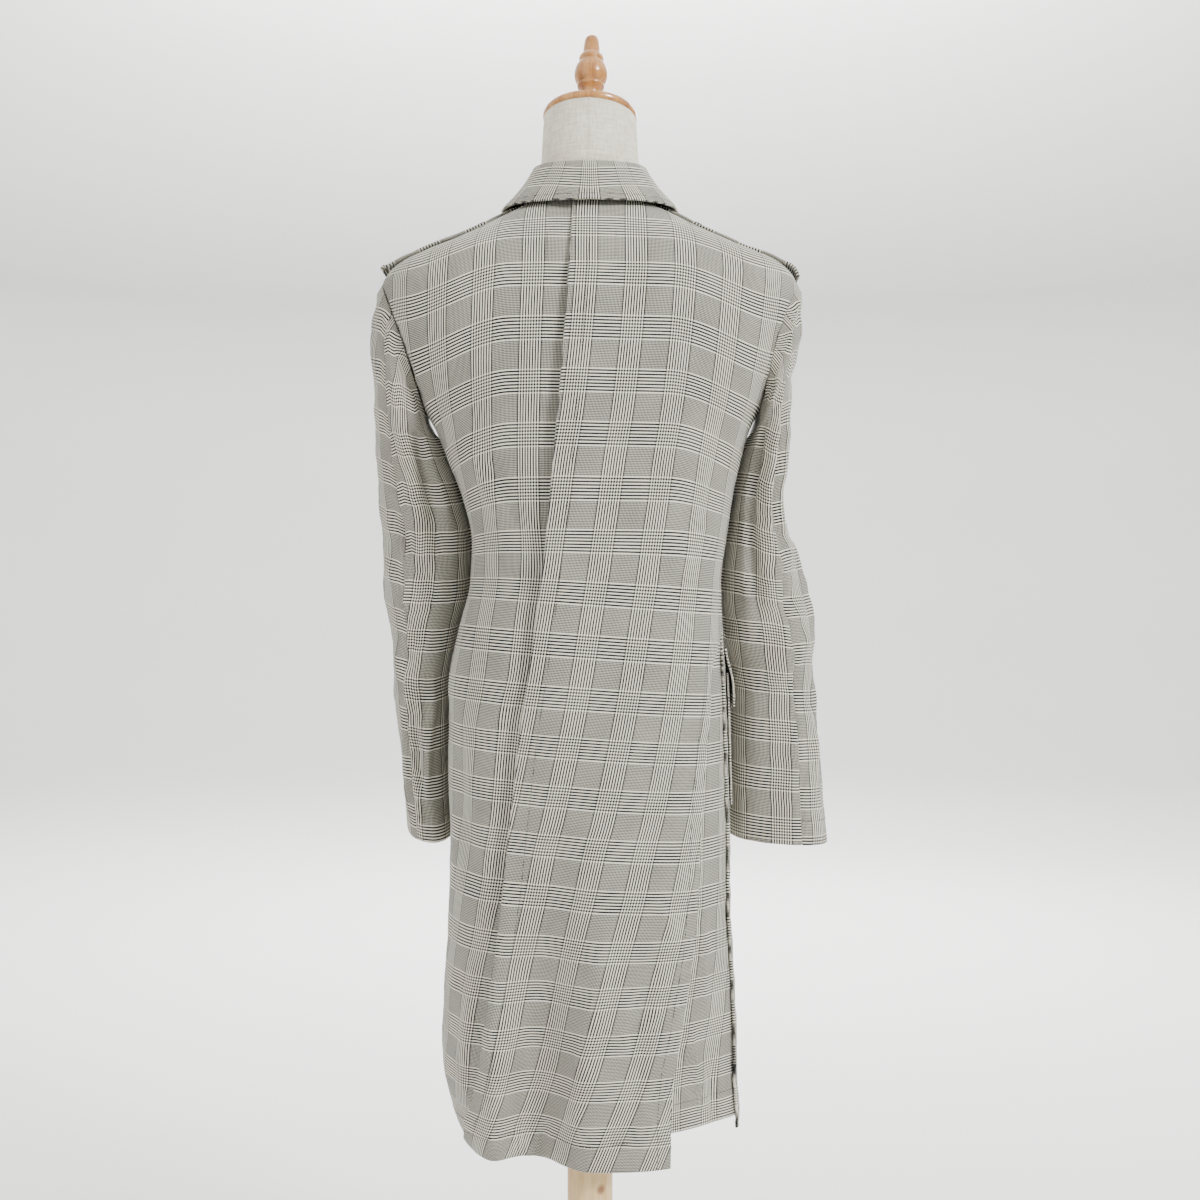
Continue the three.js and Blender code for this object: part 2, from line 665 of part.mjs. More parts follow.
// A corner of the armhole's ring: 0 at the underarm, up the back, 8 at the tip, down the front to 16.
function armholeCorner(step, side) {
  const back = step <= ARMHOLE_STEPS;
  const { z, angle } = armholeRow(back ? step : 2 * ARMHOLE_STEPS - step, back);
  const point = bodyPoint(side * (back ? angle : 180 - angle), z);
  point.x += side * ARMHOLE_OFFSET;
  return point;
}

function armholePoint(turn, side) {
  const position = (turn / 180) * ARMHOLE_STEPS;
  const step = Math.floor(position + 1e-9);
  const last = 2 * ARMHOLE_STEPS;
  return armholeCorner(step % last, side).lerp(armholeCorner((step + 1) % last, side), position - step);
}

// A point of a sleeve's ring: turn 0 is the side toward the body, 90 the back, 180 the outside.
function sleevePoint(ring, turn, side, drop) {
  const exponent = 2 / SLEEVE_ROUNDNESS;
  const cosine = power(Math.cos(rad(turn)), exponent);
  const sine = power(Math.sin(rad(turn)), exponent);
  const out = (1 - cosine) / 2;
  return new THREE.Vector3(
    side * mix(ring.innerX, ring.outerX, out),
    ring.middleY - ring.halfDepth * sine,
    mix(ring.innerZ, ring.outerZ, out) - drop * sine,
  );
}

// One piece of a sleeve between two turns, from the cuff up to the armhole.
function sleevePiece(table, side, from, to, drop) {
  const columns = Math.round((to - from) / SLEEVE_STEP);
  const turns = Array.from({ length: columns + 3 }, (_, i) => {
    const inset = i === 1 ? SLEEVE_SEAM_TURN : i === columns + 1 ? -SLEEVE_SEAM_TURN : 0;
    return from + (i - 1) * SLEEVE_STEP + inset;
  });
  const rings = table.map((ring, j) => {
    const share = drop * smooth(1 + (j + 1 - table.length) / CUFF_DROP_RINGS);
    return turns.map((turn) => sleevePoint(ring, turn % 360, side, share));
  });
  const top = turns.map((turn) => armholePoint(turn % 360, side));
  const grid = [...rings.reverse(), top];
  return wallFromGrid(side < 0 ? grid.map((row) => [...row].reverse()) : grid, SLEEVE_WALL, 1);
}

// How far forward the coat's front lies at x and z.
function frontDepth(x, z) {
  const share = Math.min(1, Math.abs(x) / bodyRight(z)) ** BODY_ROUNDNESS;
  return bodyFront(z) * (1 - share) ** (1 / BODY_ROUNDNESS);
}

// A point of the front neckline: 0 is the neck point on the shoulder, 90 the centre front.
function frontNeckline(turn) {
  const x = (NECK_HALF_WIDTH - NECKLINE_INSET) * Math.cos(rad(turn));
  const z = NECK_RIDGE_Z - (NECK_RIDGE_Z - FRONT_NECK_Z - NECKLINE_CLEAR) * Math.sin(rad(turn));
  return new THREE.Vector3(x, frontDepth(x, z), z);
}

// A point of the neck seam, where the collar's stand begins, at an angle from the centre back.
function neckSeam(angle) {
  const sine = Math.sin(rad(angle));
  const cosine = Math.cos(rad(angle));
  if (cosine >= 0) {
    const point = bodyPoint(angle, BACK_NECK_Z, -NECK_SEAM_INSET);
    point.z = mix(NECK_RIDGE_Z + NECK_SEAM_RISE, BACK_NECK_Z, cosine ** 2) + SEAM_GAP;
    return point;
  }
  const wanted = frontDepth(0, FRONT_NECK_Z) * -cosine;
  let low = 0;
  let high = 90;
  for (let i = 0; i < NECKLINE_HALVINGS; i += 1) {
    const middle = (low + high) / 2;
    if (frontNeckline(middle).y < wanted) low = middle;
    else high = middle;
  }
  const point = frontNeckline(high);
  point.x *= Math.sign(sine);
  point.z += SEAM_GAP + NECK_SEAM_RISE * (1 + cosine);
  return point;
}

// A point of one of the collar's rings; its turned-down part lies over the coat's front.
function collarPoint(ring, angle) {
  const sine = Math.sin(rad(angle));
  const cosine = Math.cos(rad(angle));
  const depth = cosine > 0 ? ring.back : ring.front;
  const endZ = cosine > 0 ? ring.backZ : ring.frontZ;
  const x = ring.side * sine;
  const z = mix(ring.sideZ, endZ, cosine ** 2);
  const over = cosine < 0 && ring.over ? frontDepth(x, z) + COLLAR_CLEAR : -Infinity;
  return new THREE.Vector3(x, Math.max(-depth * cosine, over), z);
}

function collar() {
  const reach = 180 - COLLAR_FRONT_GAP;
  const turnAt = (i) => mix(-reach, reach, i / COLLAR_COLUMNS);
  const turns = Array.from({ length: COLLAR_COLUMNS + 1 }, (_, i) => turnAt(i));
  const rows = [neckSeam, ...COLLAR_RINGS.map((ring) => (angle) => collarPoint(ring, angle))];
  const grid = rows.map((pointAt) => turns.map(pointAt).reverse());
  return wallFromGrid(grid, COLLAR_WALL);
}

const shoulderRows = BODY_SECTIONS.filter((row) => row.z >= SHOULDER_FROM_Z);
const ridgeHeights = shoulderRows.map((row) => ({ z: row.z, x: -row.left }));
const ridgeZ = column(ridgeHeights, "z", "x");
const strapLift = {
  left: column(STRAP_LIFT.left, "lift", "x"),
  right: column(STRAP_LIFT.right, "lift", "x"),
};
const sideWord = (side) => (side < 0 ? "left" : "right");

// A point on the shoulder, y to the side of its ridge, lifted off the cloth.
function shoulderPoint(x, y, side, lift) {
  const crest = ridgeZ(-Math.abs(x));
  const depth = y < 0 ? bodyBack(crest) : bodyFront(crest);
  const share = Math.min(1, Math.abs(y) / depth) ** BODY_ROUNDNESS;
  const fall = 1 - (1 - share) ** (1 / BODY_ROUNDNESS);
  return new THREE.Vector3(side * x, y, crest + lift - fall * Math.abs(x) * SHOULDER_FALL);
}

function shoulderStrap(side) {
  const columns = 4;
  const table = STRAP_LIFT[sideWord(side)];
  const first = table[0].x;
  const last = table[table.length - 1].x;
  const rows = 11;
  const grid = Array.from({ length: rows + 1 }, (_, j) => {
    const x = mix(first, last, j / rows);
    const taper = mix(STRAP_TAPER, 1, smooth((x - first) / STRAP_TAPER_REACH));
    const pointed = x < first + STRAP_POINT_REACH ? STRAP_POINT : 1;
    return Array.from({ length: columns + 1 }, (__, i) => {
      const y = mix(-1, 1, i / columns) * STRAP_HALF_WIDTH * taper * pointed;
      return shoulderPoint(x, y, side, strapLift[sideWord(side)](x));
    });
  });
  return wallFromGrid(side > 0 ? grid.map((row) => [...row].reverse()) : grid, STRAP_WALL);
}

function strapButton(side) {
  const lift = strapLift[sideWord(side)];
  const seat = shoulderPoint(STRAP_BUTTON_X, 0, side, lift(STRAP_BUTTON_X));
  const outward = STRAP_BUTTON_X + LEAN_STEP;
  const slope = Math.atan2(seat.z - shoulderPoint(outward, 0, side, lift(outward)).z, LEAN_STEP);
  const shape = buttonShape(STRAP_BUTTON_RADIUS, STRAP_BUTTON_THICKNESS);
  const mesh = named(`strap_button_${sideWord(side)}`, shape, buttonMaterial());
  mesh.position.copy(seat).add(new THREE.Vector3(0, 0, BUTTON_OFF + SEAM_GAP));
  mesh.rotation.y = side * slope;
  return mesh;
}

const buttonMaterial = () =>
  new THREE.MeshStandardMaterial({ color: BUTTON_COLOUR, roughness: 0.3, metalness: 0 });

// A plain round button with a raised rim, lying flat with its face up.
function buttonShape(radius, thickness) {
  const profile = BUTTON_PROFILE.map(([across, up]) => [across * radius, up * thickness]);
  return turned(profile, BUTTON_SIDES);
}

function frontButton(index) {
  const z = BUTTON_LEVELS[index];
  const seat = bodyPoint(180, z);
  const lean = Math.atan2(seat.y - bodyPoint(180, z + LEAN_STEP).y, LEAN_STEP);
  const shape = buttonShape(BUTTON_RADIUS, BUTTON_THICKNESS);
  const mesh = named(`front_button_${index + 1}`, shape, buttonMaterial());
  mesh.position.set(0, seat.y + BUTTON_OFF, z);
  mesh.rotation.x = -Math.PI / 2 + lean;
  return mesh;
}

// A patch on the side front between two levels and two angles, standing off by its lift.
function sidePatch({ side, low, high, back, front, liftAt, columns, rows }) {
  const grid = Array.from({ length: rows + 1 }, (_, j) => {
    const z = mix(low, high, j / rows);
    const line = Array.from({ length: columns + 1 }, (__, i) => {
      const angle = mix(back, front, i / columns);
      return bodyPoint(side * angle, z, liftAt(i / columns, j / rows));
    });
    return side > 0 ? line : line.reverse();
  });
  return wallFromGrid(grid, POCKET_WALL);
}

function pocket({ side, backAngle, frontAngle, swell }) {
  return sidePatch({
    side,
    low: POCKET_BOTTOM_Z,
    high: POCKET_TOP_Z,
    back: backAngle,
    front: frontAngle,
    liftAt: (s, t) => POCKET_LIFT + swell * Math.sin(Math.PI * s) * Math.sin(Math.PI * t),
    columns: 8,
    rows: 6,
  });
}

function pocketFlap({ side, backAngle, frontAngle, flapLift }) {
  return sidePatch({
    side,
    low: FLAP_BOTTOM_Z,
    high: FLAP_TOP_Z,
    back: backAngle - FLAP_MARGIN,
    front: frontAngle + FLAP_MARGIN,
    liftAt: (_, t) => {
      const up = (t - FLAP_STAND_SHARE) / (1 - FLAP_STAND_SHARE);
      return mix(flapLift, FLAP_TOP_LIFT, smooth(up));
    },
    columns: 8,
    rows: 4,
  });
}

// Height of the tilted top of the neck at a point of its rim.
function neckTop(x, y) {
  return NECK_TOP_Z - x * Math.tan(rad(CAP_ROLL)) - y * Math.tan(rad(CAP_TILT));
}

function dressForm() {
  const half = column(FORM_SECTIONS, "half");
  const back = column(FORM_SECTIONS, "back");
  const front = column(FORM_SECTIONS, "front");
  const last = FORM_SECTIONS[FORM_SECTIONS.length - 1];
  const ringAt = (z, heightAt) =>
    Array.from({ length: FORM_SIDES }, (_, i) => {
      const turn = rad((360 * i) / FORM_SIDES);
      const exponent = 2 / mix(FORM_ROUNDNESS, 2, smooth((z - FORM_NECK_Z) / FORM_NECK_REACH));
      const cosine = power(Math.cos(turn), exponent);
      const x = half(z) * power(Math.sin(turn), exponent);
      const y = -(cosine > 0 ? back(z) : front(z)) * cosine;
      return new THREE.Vector3(x, y, heightAt(x, y));
    });
  const shrink = NECK_TOP_HALF / last.half;
  const bend = ringAt(last.z, (x, y) => mix(NECK_BEND_Z, neckTop(x, y), NECK_BEND_SHARE));
  const top = ringAt(last.z, neckTop).map((p) => new THREE.Vector3(p.x * shrink, p.y * shrink, p.z));
  const body = FORM_SECTIONS.slice(0, -1).map((row) => ringAt(row.z, () => row.z));
  return solidFromRings([...body, bend, top]);
}

// The wooden cap and finial share the neck's tilt.
const neckCap = new THREE.Group();
neckCap.position.set(0, 0, NECK_TOP_Z + SEAM_GAP);
neckCap.rotation.set(-rad(CAP_TILT), rad(CAP_ROLL), 0);
neckCap.add(named("neck_cap", turned(CAP_PROFILE, CAP_SIDES), wood()));
neckCap.add(named("finial", turned(FINIAL_PROFILE, FINIAL_SIDES), wood()));

const poleLength = FORM_SECTIONS[0].z - BASE_HEIGHT - 2 * SEAM_GAP;
const pole = named(
  "pole",
  new THREE.CylinderGeometry(POLE_RADIUS, POLE_RADIUS, poleLength, POLE_SIDES).rotateX(Math.PI / 2),
  new THREE.MeshStandardMaterial({ color: POLE_COLOUR, roughness: 0.6, metalness: 0 }),
);
pole.position.z = BASE_HEIGHT + SEAM_GAP + poleLength / 2;

const linen = new THREE.MeshStandardMaterial({ color: LINEN_COLOUR, roughness: 0.95, metalness: 0 });

const stand = new THREE.Group();
stand.add(named("base", turned(BASE_PROFILE, BASE_SIDES), wood()));
stand.add(pole);
stand.add(named("dress_form", dressForm(), linen));
stand.add(neckCap);

const coat = new THREE.Group();
coat.add(named("back_left", backLeft(), cloth()));
coat.add(named("back_right", backRight(), cloth()));
coat.add(named("vent_underlay", ventUnderlay(), cloth()));
coat.add(named("front_left", frontPanel(false), cloth()));
coat.add(named("front_right", frontPanel(true), cloth()));
coat.add(named("collar", collar(), cloth()));
for (const [word, side, table, drop] of [
  ["left", -1, LEFT_SLEEVE, LEFT_CUFF_DROP],
  ["right", 1, RIGHT_SLEEVE, RIGHT_CUFF_DROP],
]) {
  const upper = sleevePiece(table, side, SLEEVE_BACK_SEAM, SLEEVE_FRONT_SEAM, drop);
  const under = sleevePiece(table, side, SLEEVE_FRONT_SEAM, SLEEVE_BACK_SEAM + 360, drop);
  coat.add(named(`sleeve_${word}_upper`, upper, cloth()));
  coat.add(named(`sleeve_${word}_under`, under, cloth()));
  coat.add(named(`shoulder_strap_${word}`, shoulderStrap(side), cloth()));
  coat.add(named(`pocket_${word}`, pocket(POCKETS[word]), cloth()));
  coat.add(named(`pocket_flap_${word}`, pocketFlap(POCKETS[word]), cloth()));
  coat.add(strapButton(side));
}
BUTTON_LEVELS.forEach((_, index) => coat.add(frontButton(index)));

const group = new THREE.Group();
group.add(stand, coat);

export default group;
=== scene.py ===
# A knee-length coat in black and cream glen check on a limbless dress form.
import bpy
import math
import numpy as np
from mathutils import Euler, Matrix, Vector, noise


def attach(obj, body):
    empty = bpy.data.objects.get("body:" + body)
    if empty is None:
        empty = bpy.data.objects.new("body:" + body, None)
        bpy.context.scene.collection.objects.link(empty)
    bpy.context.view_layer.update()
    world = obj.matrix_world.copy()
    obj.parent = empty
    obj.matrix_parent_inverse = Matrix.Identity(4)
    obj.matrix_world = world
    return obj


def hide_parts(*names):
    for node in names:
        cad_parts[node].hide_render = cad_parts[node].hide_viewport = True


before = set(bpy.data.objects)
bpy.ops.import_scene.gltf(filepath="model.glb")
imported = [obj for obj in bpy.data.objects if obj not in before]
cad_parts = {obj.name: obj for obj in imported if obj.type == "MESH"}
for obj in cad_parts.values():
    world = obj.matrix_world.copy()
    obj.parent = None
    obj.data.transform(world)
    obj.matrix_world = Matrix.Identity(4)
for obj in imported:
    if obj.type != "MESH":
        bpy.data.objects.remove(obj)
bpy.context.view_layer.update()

MM = 0.001
TINY = 1e-9

# Cloth
WALL = 1.5
TURNED_WALL = 3.2
SEAM_OFFSET = 0.25
SEAM_ROLL = 1.2
SEAM_ROLL_REACH = 5.0
SEAM_PUCKER = 1.1
SEAM_PUCKER_SIZE = 9
SEAM_PUCKER_REACH = 26
SEAM_PUCKER_STRETCH = np.array([0.4, 0.4, 1.0])
RIM_ROUNDING = 0.35
TURN_EASE = 3
# Crumple of worn cloth on a panel: size of the bumps, height, its share above and its gain low on the skirt
PANEL_CRUMPLE = ((34, 1.0, 0.5, 0.9), (13, 0.45, 0.4, 1.0))
CRUMPLE_FADE_Z = 1000
CRUMPLE_FADE = 400

# Sewing
STITCH_PITCH = 3.4
STITCH_LENGTH = 2.5
STITCH_RADIUS = 0.26
# A stitch's run: share of its length, rise off the cloth in thread radii
STITCH_RUN = ((0, -0.6), (0.2, 0.5), (0.8, 0.5), (1, -0.6))
HEM_TURNING = 28
PLEAT_TURNING = 18
VENT_TURNING = 14
CUFF_TURNING = 26
EDGE_STITCH = 6
STRAP_STITCH = 4
STITCH_END_GAP = 4
# Tack rows of the pleat: x, lowest and highest level
TACK_ROWS = ((-42.7, 1344, 1372), (27, 1346, 1376))

# Levels of the coat
HEM_Z = 442
UNDERARM_Z = 1196
SHOULDER_TIP_Z = 1342
SHOULDER_LOW_Z = 1330
FRONT_NECK_Z = 1368
NECK_POINT_Z = 1416
BACK_NECK_Z = 1420
NECK_RIDGE_Z = 1421
NECK_HALF_WIDTH = 70
ARMHOLE_BACK_DEPTH = 56
ARMHOLE_FRONT_DEPTH = 50
ARMHOLE_OFFSET = 0.45
SLEEVE_BACK_SEAM = 112.5
SLEEVE_FRONT_SEAM = 247.5
SLEEVE_SEAM_TURN = 0.2
BODY_ROUNDNESS = 2.35
SLEEVE_ROUNDNESS = 2.25

# Half widths and depths of the coat at each height: z, left, right, back, front
BODY_SECTIONS = [
    (440, 135, 160, 141, 126), (458, 144, 159.5, 140.6, 126), (475, 149, 159, 140, 126),
    (520, 158, 157.5, 138.5, 126), (600, 155, 155, 136, 125), (687, 150.5, 150.5, 133, 124),
    (760, 149.5, 150, 130, 123), (835, 153, 148, 126, 122), (907, 152, 146, 122, 119),
    (960, 143, 143, 118, 115), (1020, 128.5, 140.5, 114, 111), (1062, 126.5, 146, 113, 110),
    (1110, 137, 153, 114, 112), (1150, 153, 162, 116, 115), (1178, 164, 170, 117, 117),
    (1214, 184, 188, 118, 119), (1259, 207, 207, 118, 120), (1300, 221, 219, 115, 114),
    (1330, 224, 223, 111, 105), (1342, 220, 220, 107, 100), (1355, 209, 209, 102, 94),
    (1380, 154, 154, 88, 80), (1400, 111, 111, 74, 67), (1412, 88, 88, 64, 60), (1421, 70, 70, 57, 56),
]

# Folded edge of the centre-back pleat: z, x, how far it stands off, how far the panel beneath is sunk
PLEAT_EDGE = [
    (440, -129, 10, 3.6), (470, -127, 9, 3.6), (497, -118, 5, 3.6), (590, -101, 4, 3.6),
    (663, -91, 4, 3.6), (765, -80, 4, 3.6), (877, -67, 5, 3.6), (923, -60, 7, 3.6),
    (1040, -45, 9, 3.6), (1129, -36, 9, 3.6), (1267, -24, 7, 3.6), (1350, -19, 4, 3),
    (1400, -17, 2.2, 2.3), (1421, -16, 1.7, 2.1),
]
PLEAT_UNDERLAP = 34
PLEAT_LIMIT = 80
PLEAT_SINK_REACH = 24
PLEAT_REACH = 70

# Rear edge of the right back panel over the vent: z, x
VENT_EDGE = [
    (440, 80), (478, 80), (529, 84), (570, 92), (642, 104), (714, 111), (760, 113),
    (827, 118), (883, 123), (930, 127),
]
VENT_TOP_Z = 945
VENT_EASE_BELOW = 20
VENT_EASE = 80
SLIT_DEPTH = 30
SLIT_TUCK = 5
VENT_UNDERLAP = 30
VENT_RECESS_HEM = 50
VENT_RECESS_TOP = 4
UNDERLAY_HEM_RISE = 12
UNDERLAY_BOW = 7
UNDERLAY_SEWN = 45
UNDERLAY_DEPTH = 3.1
UNDERLAY_CHECK_START = 12
UNDERLAY_CHECK_DROP = 10
UNDERLAY_CREASES = [(100, 560, 120, 470, 4, 9), (125, 540, 132, 450, -4, 8), (118, 700, 122, 560, 2.5, 8)]

# Hanging folds: x at the hem, x at the top, top level, depth at the hem (a trough below zero), half width
FOLD_REACH = 1.8
FOLD_FADE = 2.2
BACK_FOLDS = [
    (-51, -40, 900, -28, 30), (-97, -70, 780, 7, 16), (2, 5, 960, 9, 44), (72, 100, 900, 11, 34),
]
FRONT_FOLDS = [(-72, -70, 900, 10, 30), (88, 72, 880, 11, 34)]

# Front closure
FRONT_OVERLAP = 22
FRONT_LAP_DEPTH = 3.8
FRONT_LAP_REACH = 45
BUTTON_RADIUS = 11
BUTTON_THICKNESS = 4
LEAN_STEP = 4
BUTTONHOLE_START = -3
BUTTONHOLE_LENGTH = 24
BUTTONHOLE_SLOT = 0.35
BUTTONHOLE_REACH = 2.4
BUTTONHOLE_PITCH = 0.9
BUTTONHOLE_BAR_PITCH = 0.5
BUTTONHOLE_THREAD = 0.32
BUTTON_LEVELS = [1335, 1240, 1145, 1050, 955]

# Sleeve rings from the armhole to the cuff: inner x and z, outer x and z, middle y, half depth
LEFT_SLEEVE = [
    (174.5, 1190, 228, 1329, 0, 58), (171, 1184, 232, 1298, 4, 62), (167, 1176, 233.5, 1258, 9, 65),
    (162, 1166, 233.5, 1212, 18, 67), (155, 1150, 233.5, 1166, 28, 67), (139.5, 1115, 232.5, 1118, 35, 65),
    (127, 1061, 229, 1061, 42, 61), (129.5, 1011, 227.5, 1011, 45, 58), (143, 960, 220, 960, 48, 56),
    (152, 900, 217.5, 900, 50, 55), (153, 830, 210.5, 832, 53, 54), (149, 749, 203, 756, 55, 53),
]
RIGHT_SLEEVE = [
    (179, 1190, 227, 1330, 0, 58), (176.5, 1184, 225.5, 1298, 4, 62), (173, 1176, 218, 1258, 9, 65),
    (169.5, 1166, 215, 1214, 18, 67), (163.5, 1150, 212.5, 1168, 28, 67), (155, 1115, 209, 1112, 35, 65),
    (147, 1061, 221, 1066, 42, 61), (142.5, 1011, 234, 1014, 45, 57), (147.5, 960, 246, 960, 49, 52),
    (155, 900, 248.5, 897, 52, 47), (155, 830, 255.5, 828, 50, 41), (155, 742, 263, 734, 46, 35),
]
LEFT_CUFF_DROP = 14
RIGHT_CUFF_DROP = 3

# Collar rings: half width, depth back and front, heights at the side, back and front,
# 1 where it lies over the coat
COLLAR_RINGS = [
    (60, 52.5, 66, 1444, 1440, 1393, 0), (56.8, 52.5, 61, 1456, 1451, 1414, 0),
    (58, 54, 61.5, 1461.5, 1456, 1419, 0), (61.5, 57.3, 65, 1462.5, 1457, 1419.5, 0),
    (63.8, 60.5, 69, 1458.5, 1453.5, 1414, 0), (75.5, 68, 80, 1441, 1435, 1386, 1),
    (95.5, 77, 92, 1418.6, 1412.5, 1348, 1),
]
COLLAR_FRONT_GAP = 5
COLLAR_CLEAR = 6
COLLAR_TURNING = 9
COLLAR_EDGE_WALL = 2.6

# Shoulder straps: x, lift off the shoulder
STRAP_LIFT = {
    -1: [(76, 3.4), (110, 3.4), (140, 4.2), (170, 5.4), (190, 4.8), (205, 4.8), (214, 7), (223, 19)],
    1: [(76, 3.4), (110, 3.4), (170, 3.6), (190, 4.2), (205, 5), (224, 13)],
}
STRAP_WALL = 3.2
STRAP_PUFF = 1.3
STRAP_HALF_WIDTH = 23
STRAP_CHECK_START = 0.7
STRAP_FALL = 0.47
STRAP_TAPER = 0.82
STRAP_TAPER_REACH = 60
STRAP_POINT = 0.7
STRAP_POINT_REACH = 12
STRAP_BUTTON_X = 116
STRAP_BUTTON_RADIUS = 8
STRAP_BUTTON_THICKNESS = 3

# Patch pockets
POCKET_TOP_Z = 922
POCKET_BOTTOM_Z = 782
POCKET_LIFT = 3.2
POCKET_CHECK_START = 11.9
POCKET_CHECK_DROP = 13
POCKET_WALL = 1.9
FLAP_WALL = 2.0
FLAP_TOP_Z = 948
FLAP_BOTTOM_Z = 886
FLAP_TOP_LIFT = 3.2
FLAP_MARGIN = 1.2

# Dress form: z, half width, depth back and front
FORM_ROUNDNESS = 2.25
FORM_SIDES = 128
FORM_LOW_Z = 640
FORM_CHEST_Z = 1300
FORM_ROUND_Z = 1400
FORM_ROUND_REACH = 40
# Seam down the linen's back: a ridge with a groove in it, each a height and a half width in degrees
LINEN_SEAM = ((1.0, 2.8), (-0.8, 0.8))
LINEN_SEAM_DEGREES = np.array([0.7, 1.4, 2.1])
FORM_SECTIONS = [
    (640, 124, 96, 94), (655, 130, 101, 99), (740, 133, 105, 102), (850, 132, 105, 103),
    (960, 121, 99, 97), (1020, 112, 95, 93), (1062, 110, 94, 92), (1110, 118, 96, 96),
    (1178, 143, 101, 105), (1214, 157, 103, 108), (1259, 170, 103, 108), (1300, 180, 102, 102),
    (1332, 186, 99, 93), (1350, 186, 96, 88), (1364, 178, 90, 82), (1380, 146.8, 81, 73),
    (1400, 103.6, 66.5, 60.5), (1412, 80.4, 57.5, 54.5), (1421, 63, 51.2, 51),
    (1432, 57, 49.5, 50.5), (1450, 54, 49.2, 50), (1475, 52.3, 49, 49.5), (1500, 51, 48, 48.5),
]
NECK_BEND_Z = 1490
NECK_TOP_Z = 1516
NECK_TOP_HALF = 49.5
CAP_TILT = 12
CAP_ROLL = 1.2
CAP_PROFILE = [
    (49.5, 0), (50.6, 1.5), (51, 4.5), (50, 7.5), (44, 10), (30, 12), (8, 13),
]
FINIAL_PROFILE = [
    (19, 13.3), (19, 16), (13, 20), (9.5, 29), (10.5, 36), (14.5, 40), (15, 42.5), (13.5, 44),
    (16.5, 47.5), (18.3, 53), (18.5, 59), (17, 65), (13.5, 70), (12.3, 71.5), (13.6, 73.5),
    (13.4, 77), (11, 79.5), (9.6, 81), (9.2, 88), (8, 97), (6.4, 101), (2, 102.5),
]
POLE_RADIUS = 24.3
BASE_HEIGHT = 60
BASE_PROFILE = [
    (186, 0), (190, 4), (190, 18), (184, 25), (150, 30), (70, 34), (48, 38), (44, 52), (34, 60),
]
SEAT_GAP = 0.3
# A button's section: shares of its radius and of its thickness
BUTTON_PROFILE = [(0.8, 0), (0.96, 0.25), (1, 0.6), (0.92, 1), (0.76, 1), (0.66, 0.7), (0.3, 0.66)]
# Its holes: distance from the middle and radius as shares of its radius, depth as a share of its thickness
HOLE_SPREAD, HOLE_RADIUS, HOLE_DEPTH = 0.24, 0.1, 1.1
BUTTON_THREAD = 0.34
FRONT_BUTTON_GAP = 0.35
STRAP_BUTTON_GAP = 0.4


def mix(a, b, t):
    return a + (b - a) * t


def smooth(t):
    k = np.clip(t, 0, 1)
    return k * k * (3 - 2 * k)


def power(value, exponent):
    return np.sign(value) * np.abs(value) ** exponent


def curve(rows, item, key=0):
    """A smooth curve through one column of a table, read at values of its key column."""
    at = np.array([row[key] for row in rows], float)
    value = np.array([row[item] for row in rows], float)
    slope = np.diff(value) / np.diff(at)
    before = np.concatenate([slope[:1], slope])
    after = np.concatenate([slope, slope[-1:]])
    same = before * after > 0
    tangent = np.where(same, 2 * before * after / np.where(same, before + after, 1), 0)

    def read(x):
        k = np.clip(np.asarray(x, float), at[0], at[-1])
        i = np.clip(np.searchsorted(at, k, side="right") - 1, 0, len(at) - 2)
        step = at[i + 1] - at[i]
        s = (k - at[i]) / step
        return (
            value[i] * (1 + 2 * s) * (1 - s) ** 2
            + tangent[i] * step * s * (1 - s) ** 2
            + value[i + 1] * s * s * (3 - 2 * s)
            + tangent[i + 1] * step * s * s * (s - 1)
        )

    return read


body_left = curve(BODY_SECTIONS, 1)
body_right = curve(BODY_SECTIONS, 2)
body_back = curve(BODY_SECTIONS, 3)
body_front = curve(BODY_SECTIONS, 4)
pleat_x = curve(PLEAT_EDGE, 1)
pleat_proud = curve(PLEAT_EDGE, 2)
pleat_sunk = curve(PLEAT_EDGE, 3)
vent_x = curve(VENT_EDGE, 1)
strap_lift = {side: curve(table, 1) for side, table in STRAP_LIFT.items()}


def place_object(name, data):
    obj = bpy.data.objects.new(name, data)
    bpy.context.scene.collection.objects.link(obj)
    return obj


def clear_selection():
    bpy.ops.object.select_all(action="DESELECT")


def fold_depth(folds, x, z):
    """How far the hanging folds of one face stand out at x and z."""
    total = 0.0
    for hem_x, top_x, top_z, depth, half_width in folds:
        down = (top_z - z) / (top_z - HEM_Z)
        across = np.abs(x - mix(top_x, hem_x, down)) / half_width
        inside = (down > 0) & (across < FOLD_REACH)
        swell = np.cos(across * math.pi / (2 * FOLD_REACH)) ** 2
        total = total + np.where(inside, depth * smooth(down) * swell, 0)
    return total


def points(x, y, z):
    x, y, z = np.broadcast_arrays(x, y, z)
    return np.stack([x, y, z], axis=-1).astype(float)


def body_point(angle, z, out=0.0):
    """Points of the coat's outer form: 0 at the centre back, 90 at the right side, 180 in front."""
    sine = np.sin(np.radians(angle))
    cosine = np.cos(np.radians(angle))
    half = np.where(sine < 0, body_left(z), body_right(z)) + out
    depth = np.where(cosine > 0, body_back(z), body_front(z)) + out
    x = half * power(sine, 2 / BODY_ROUNDNESS)
    fold = np.where(cosine > 0, fold_depth(BACK_FOLDS, x, z), fold_depth(FRONT_FOLDS, x, z))
    fold = fold * smooth(np.abs(cosine) * FOLD_FADE)
    y = -(depth * power(cosine, 2 / BODY_ROUNDNESS) + np.sign(cosine) * fold)
    return points(x, y, z)


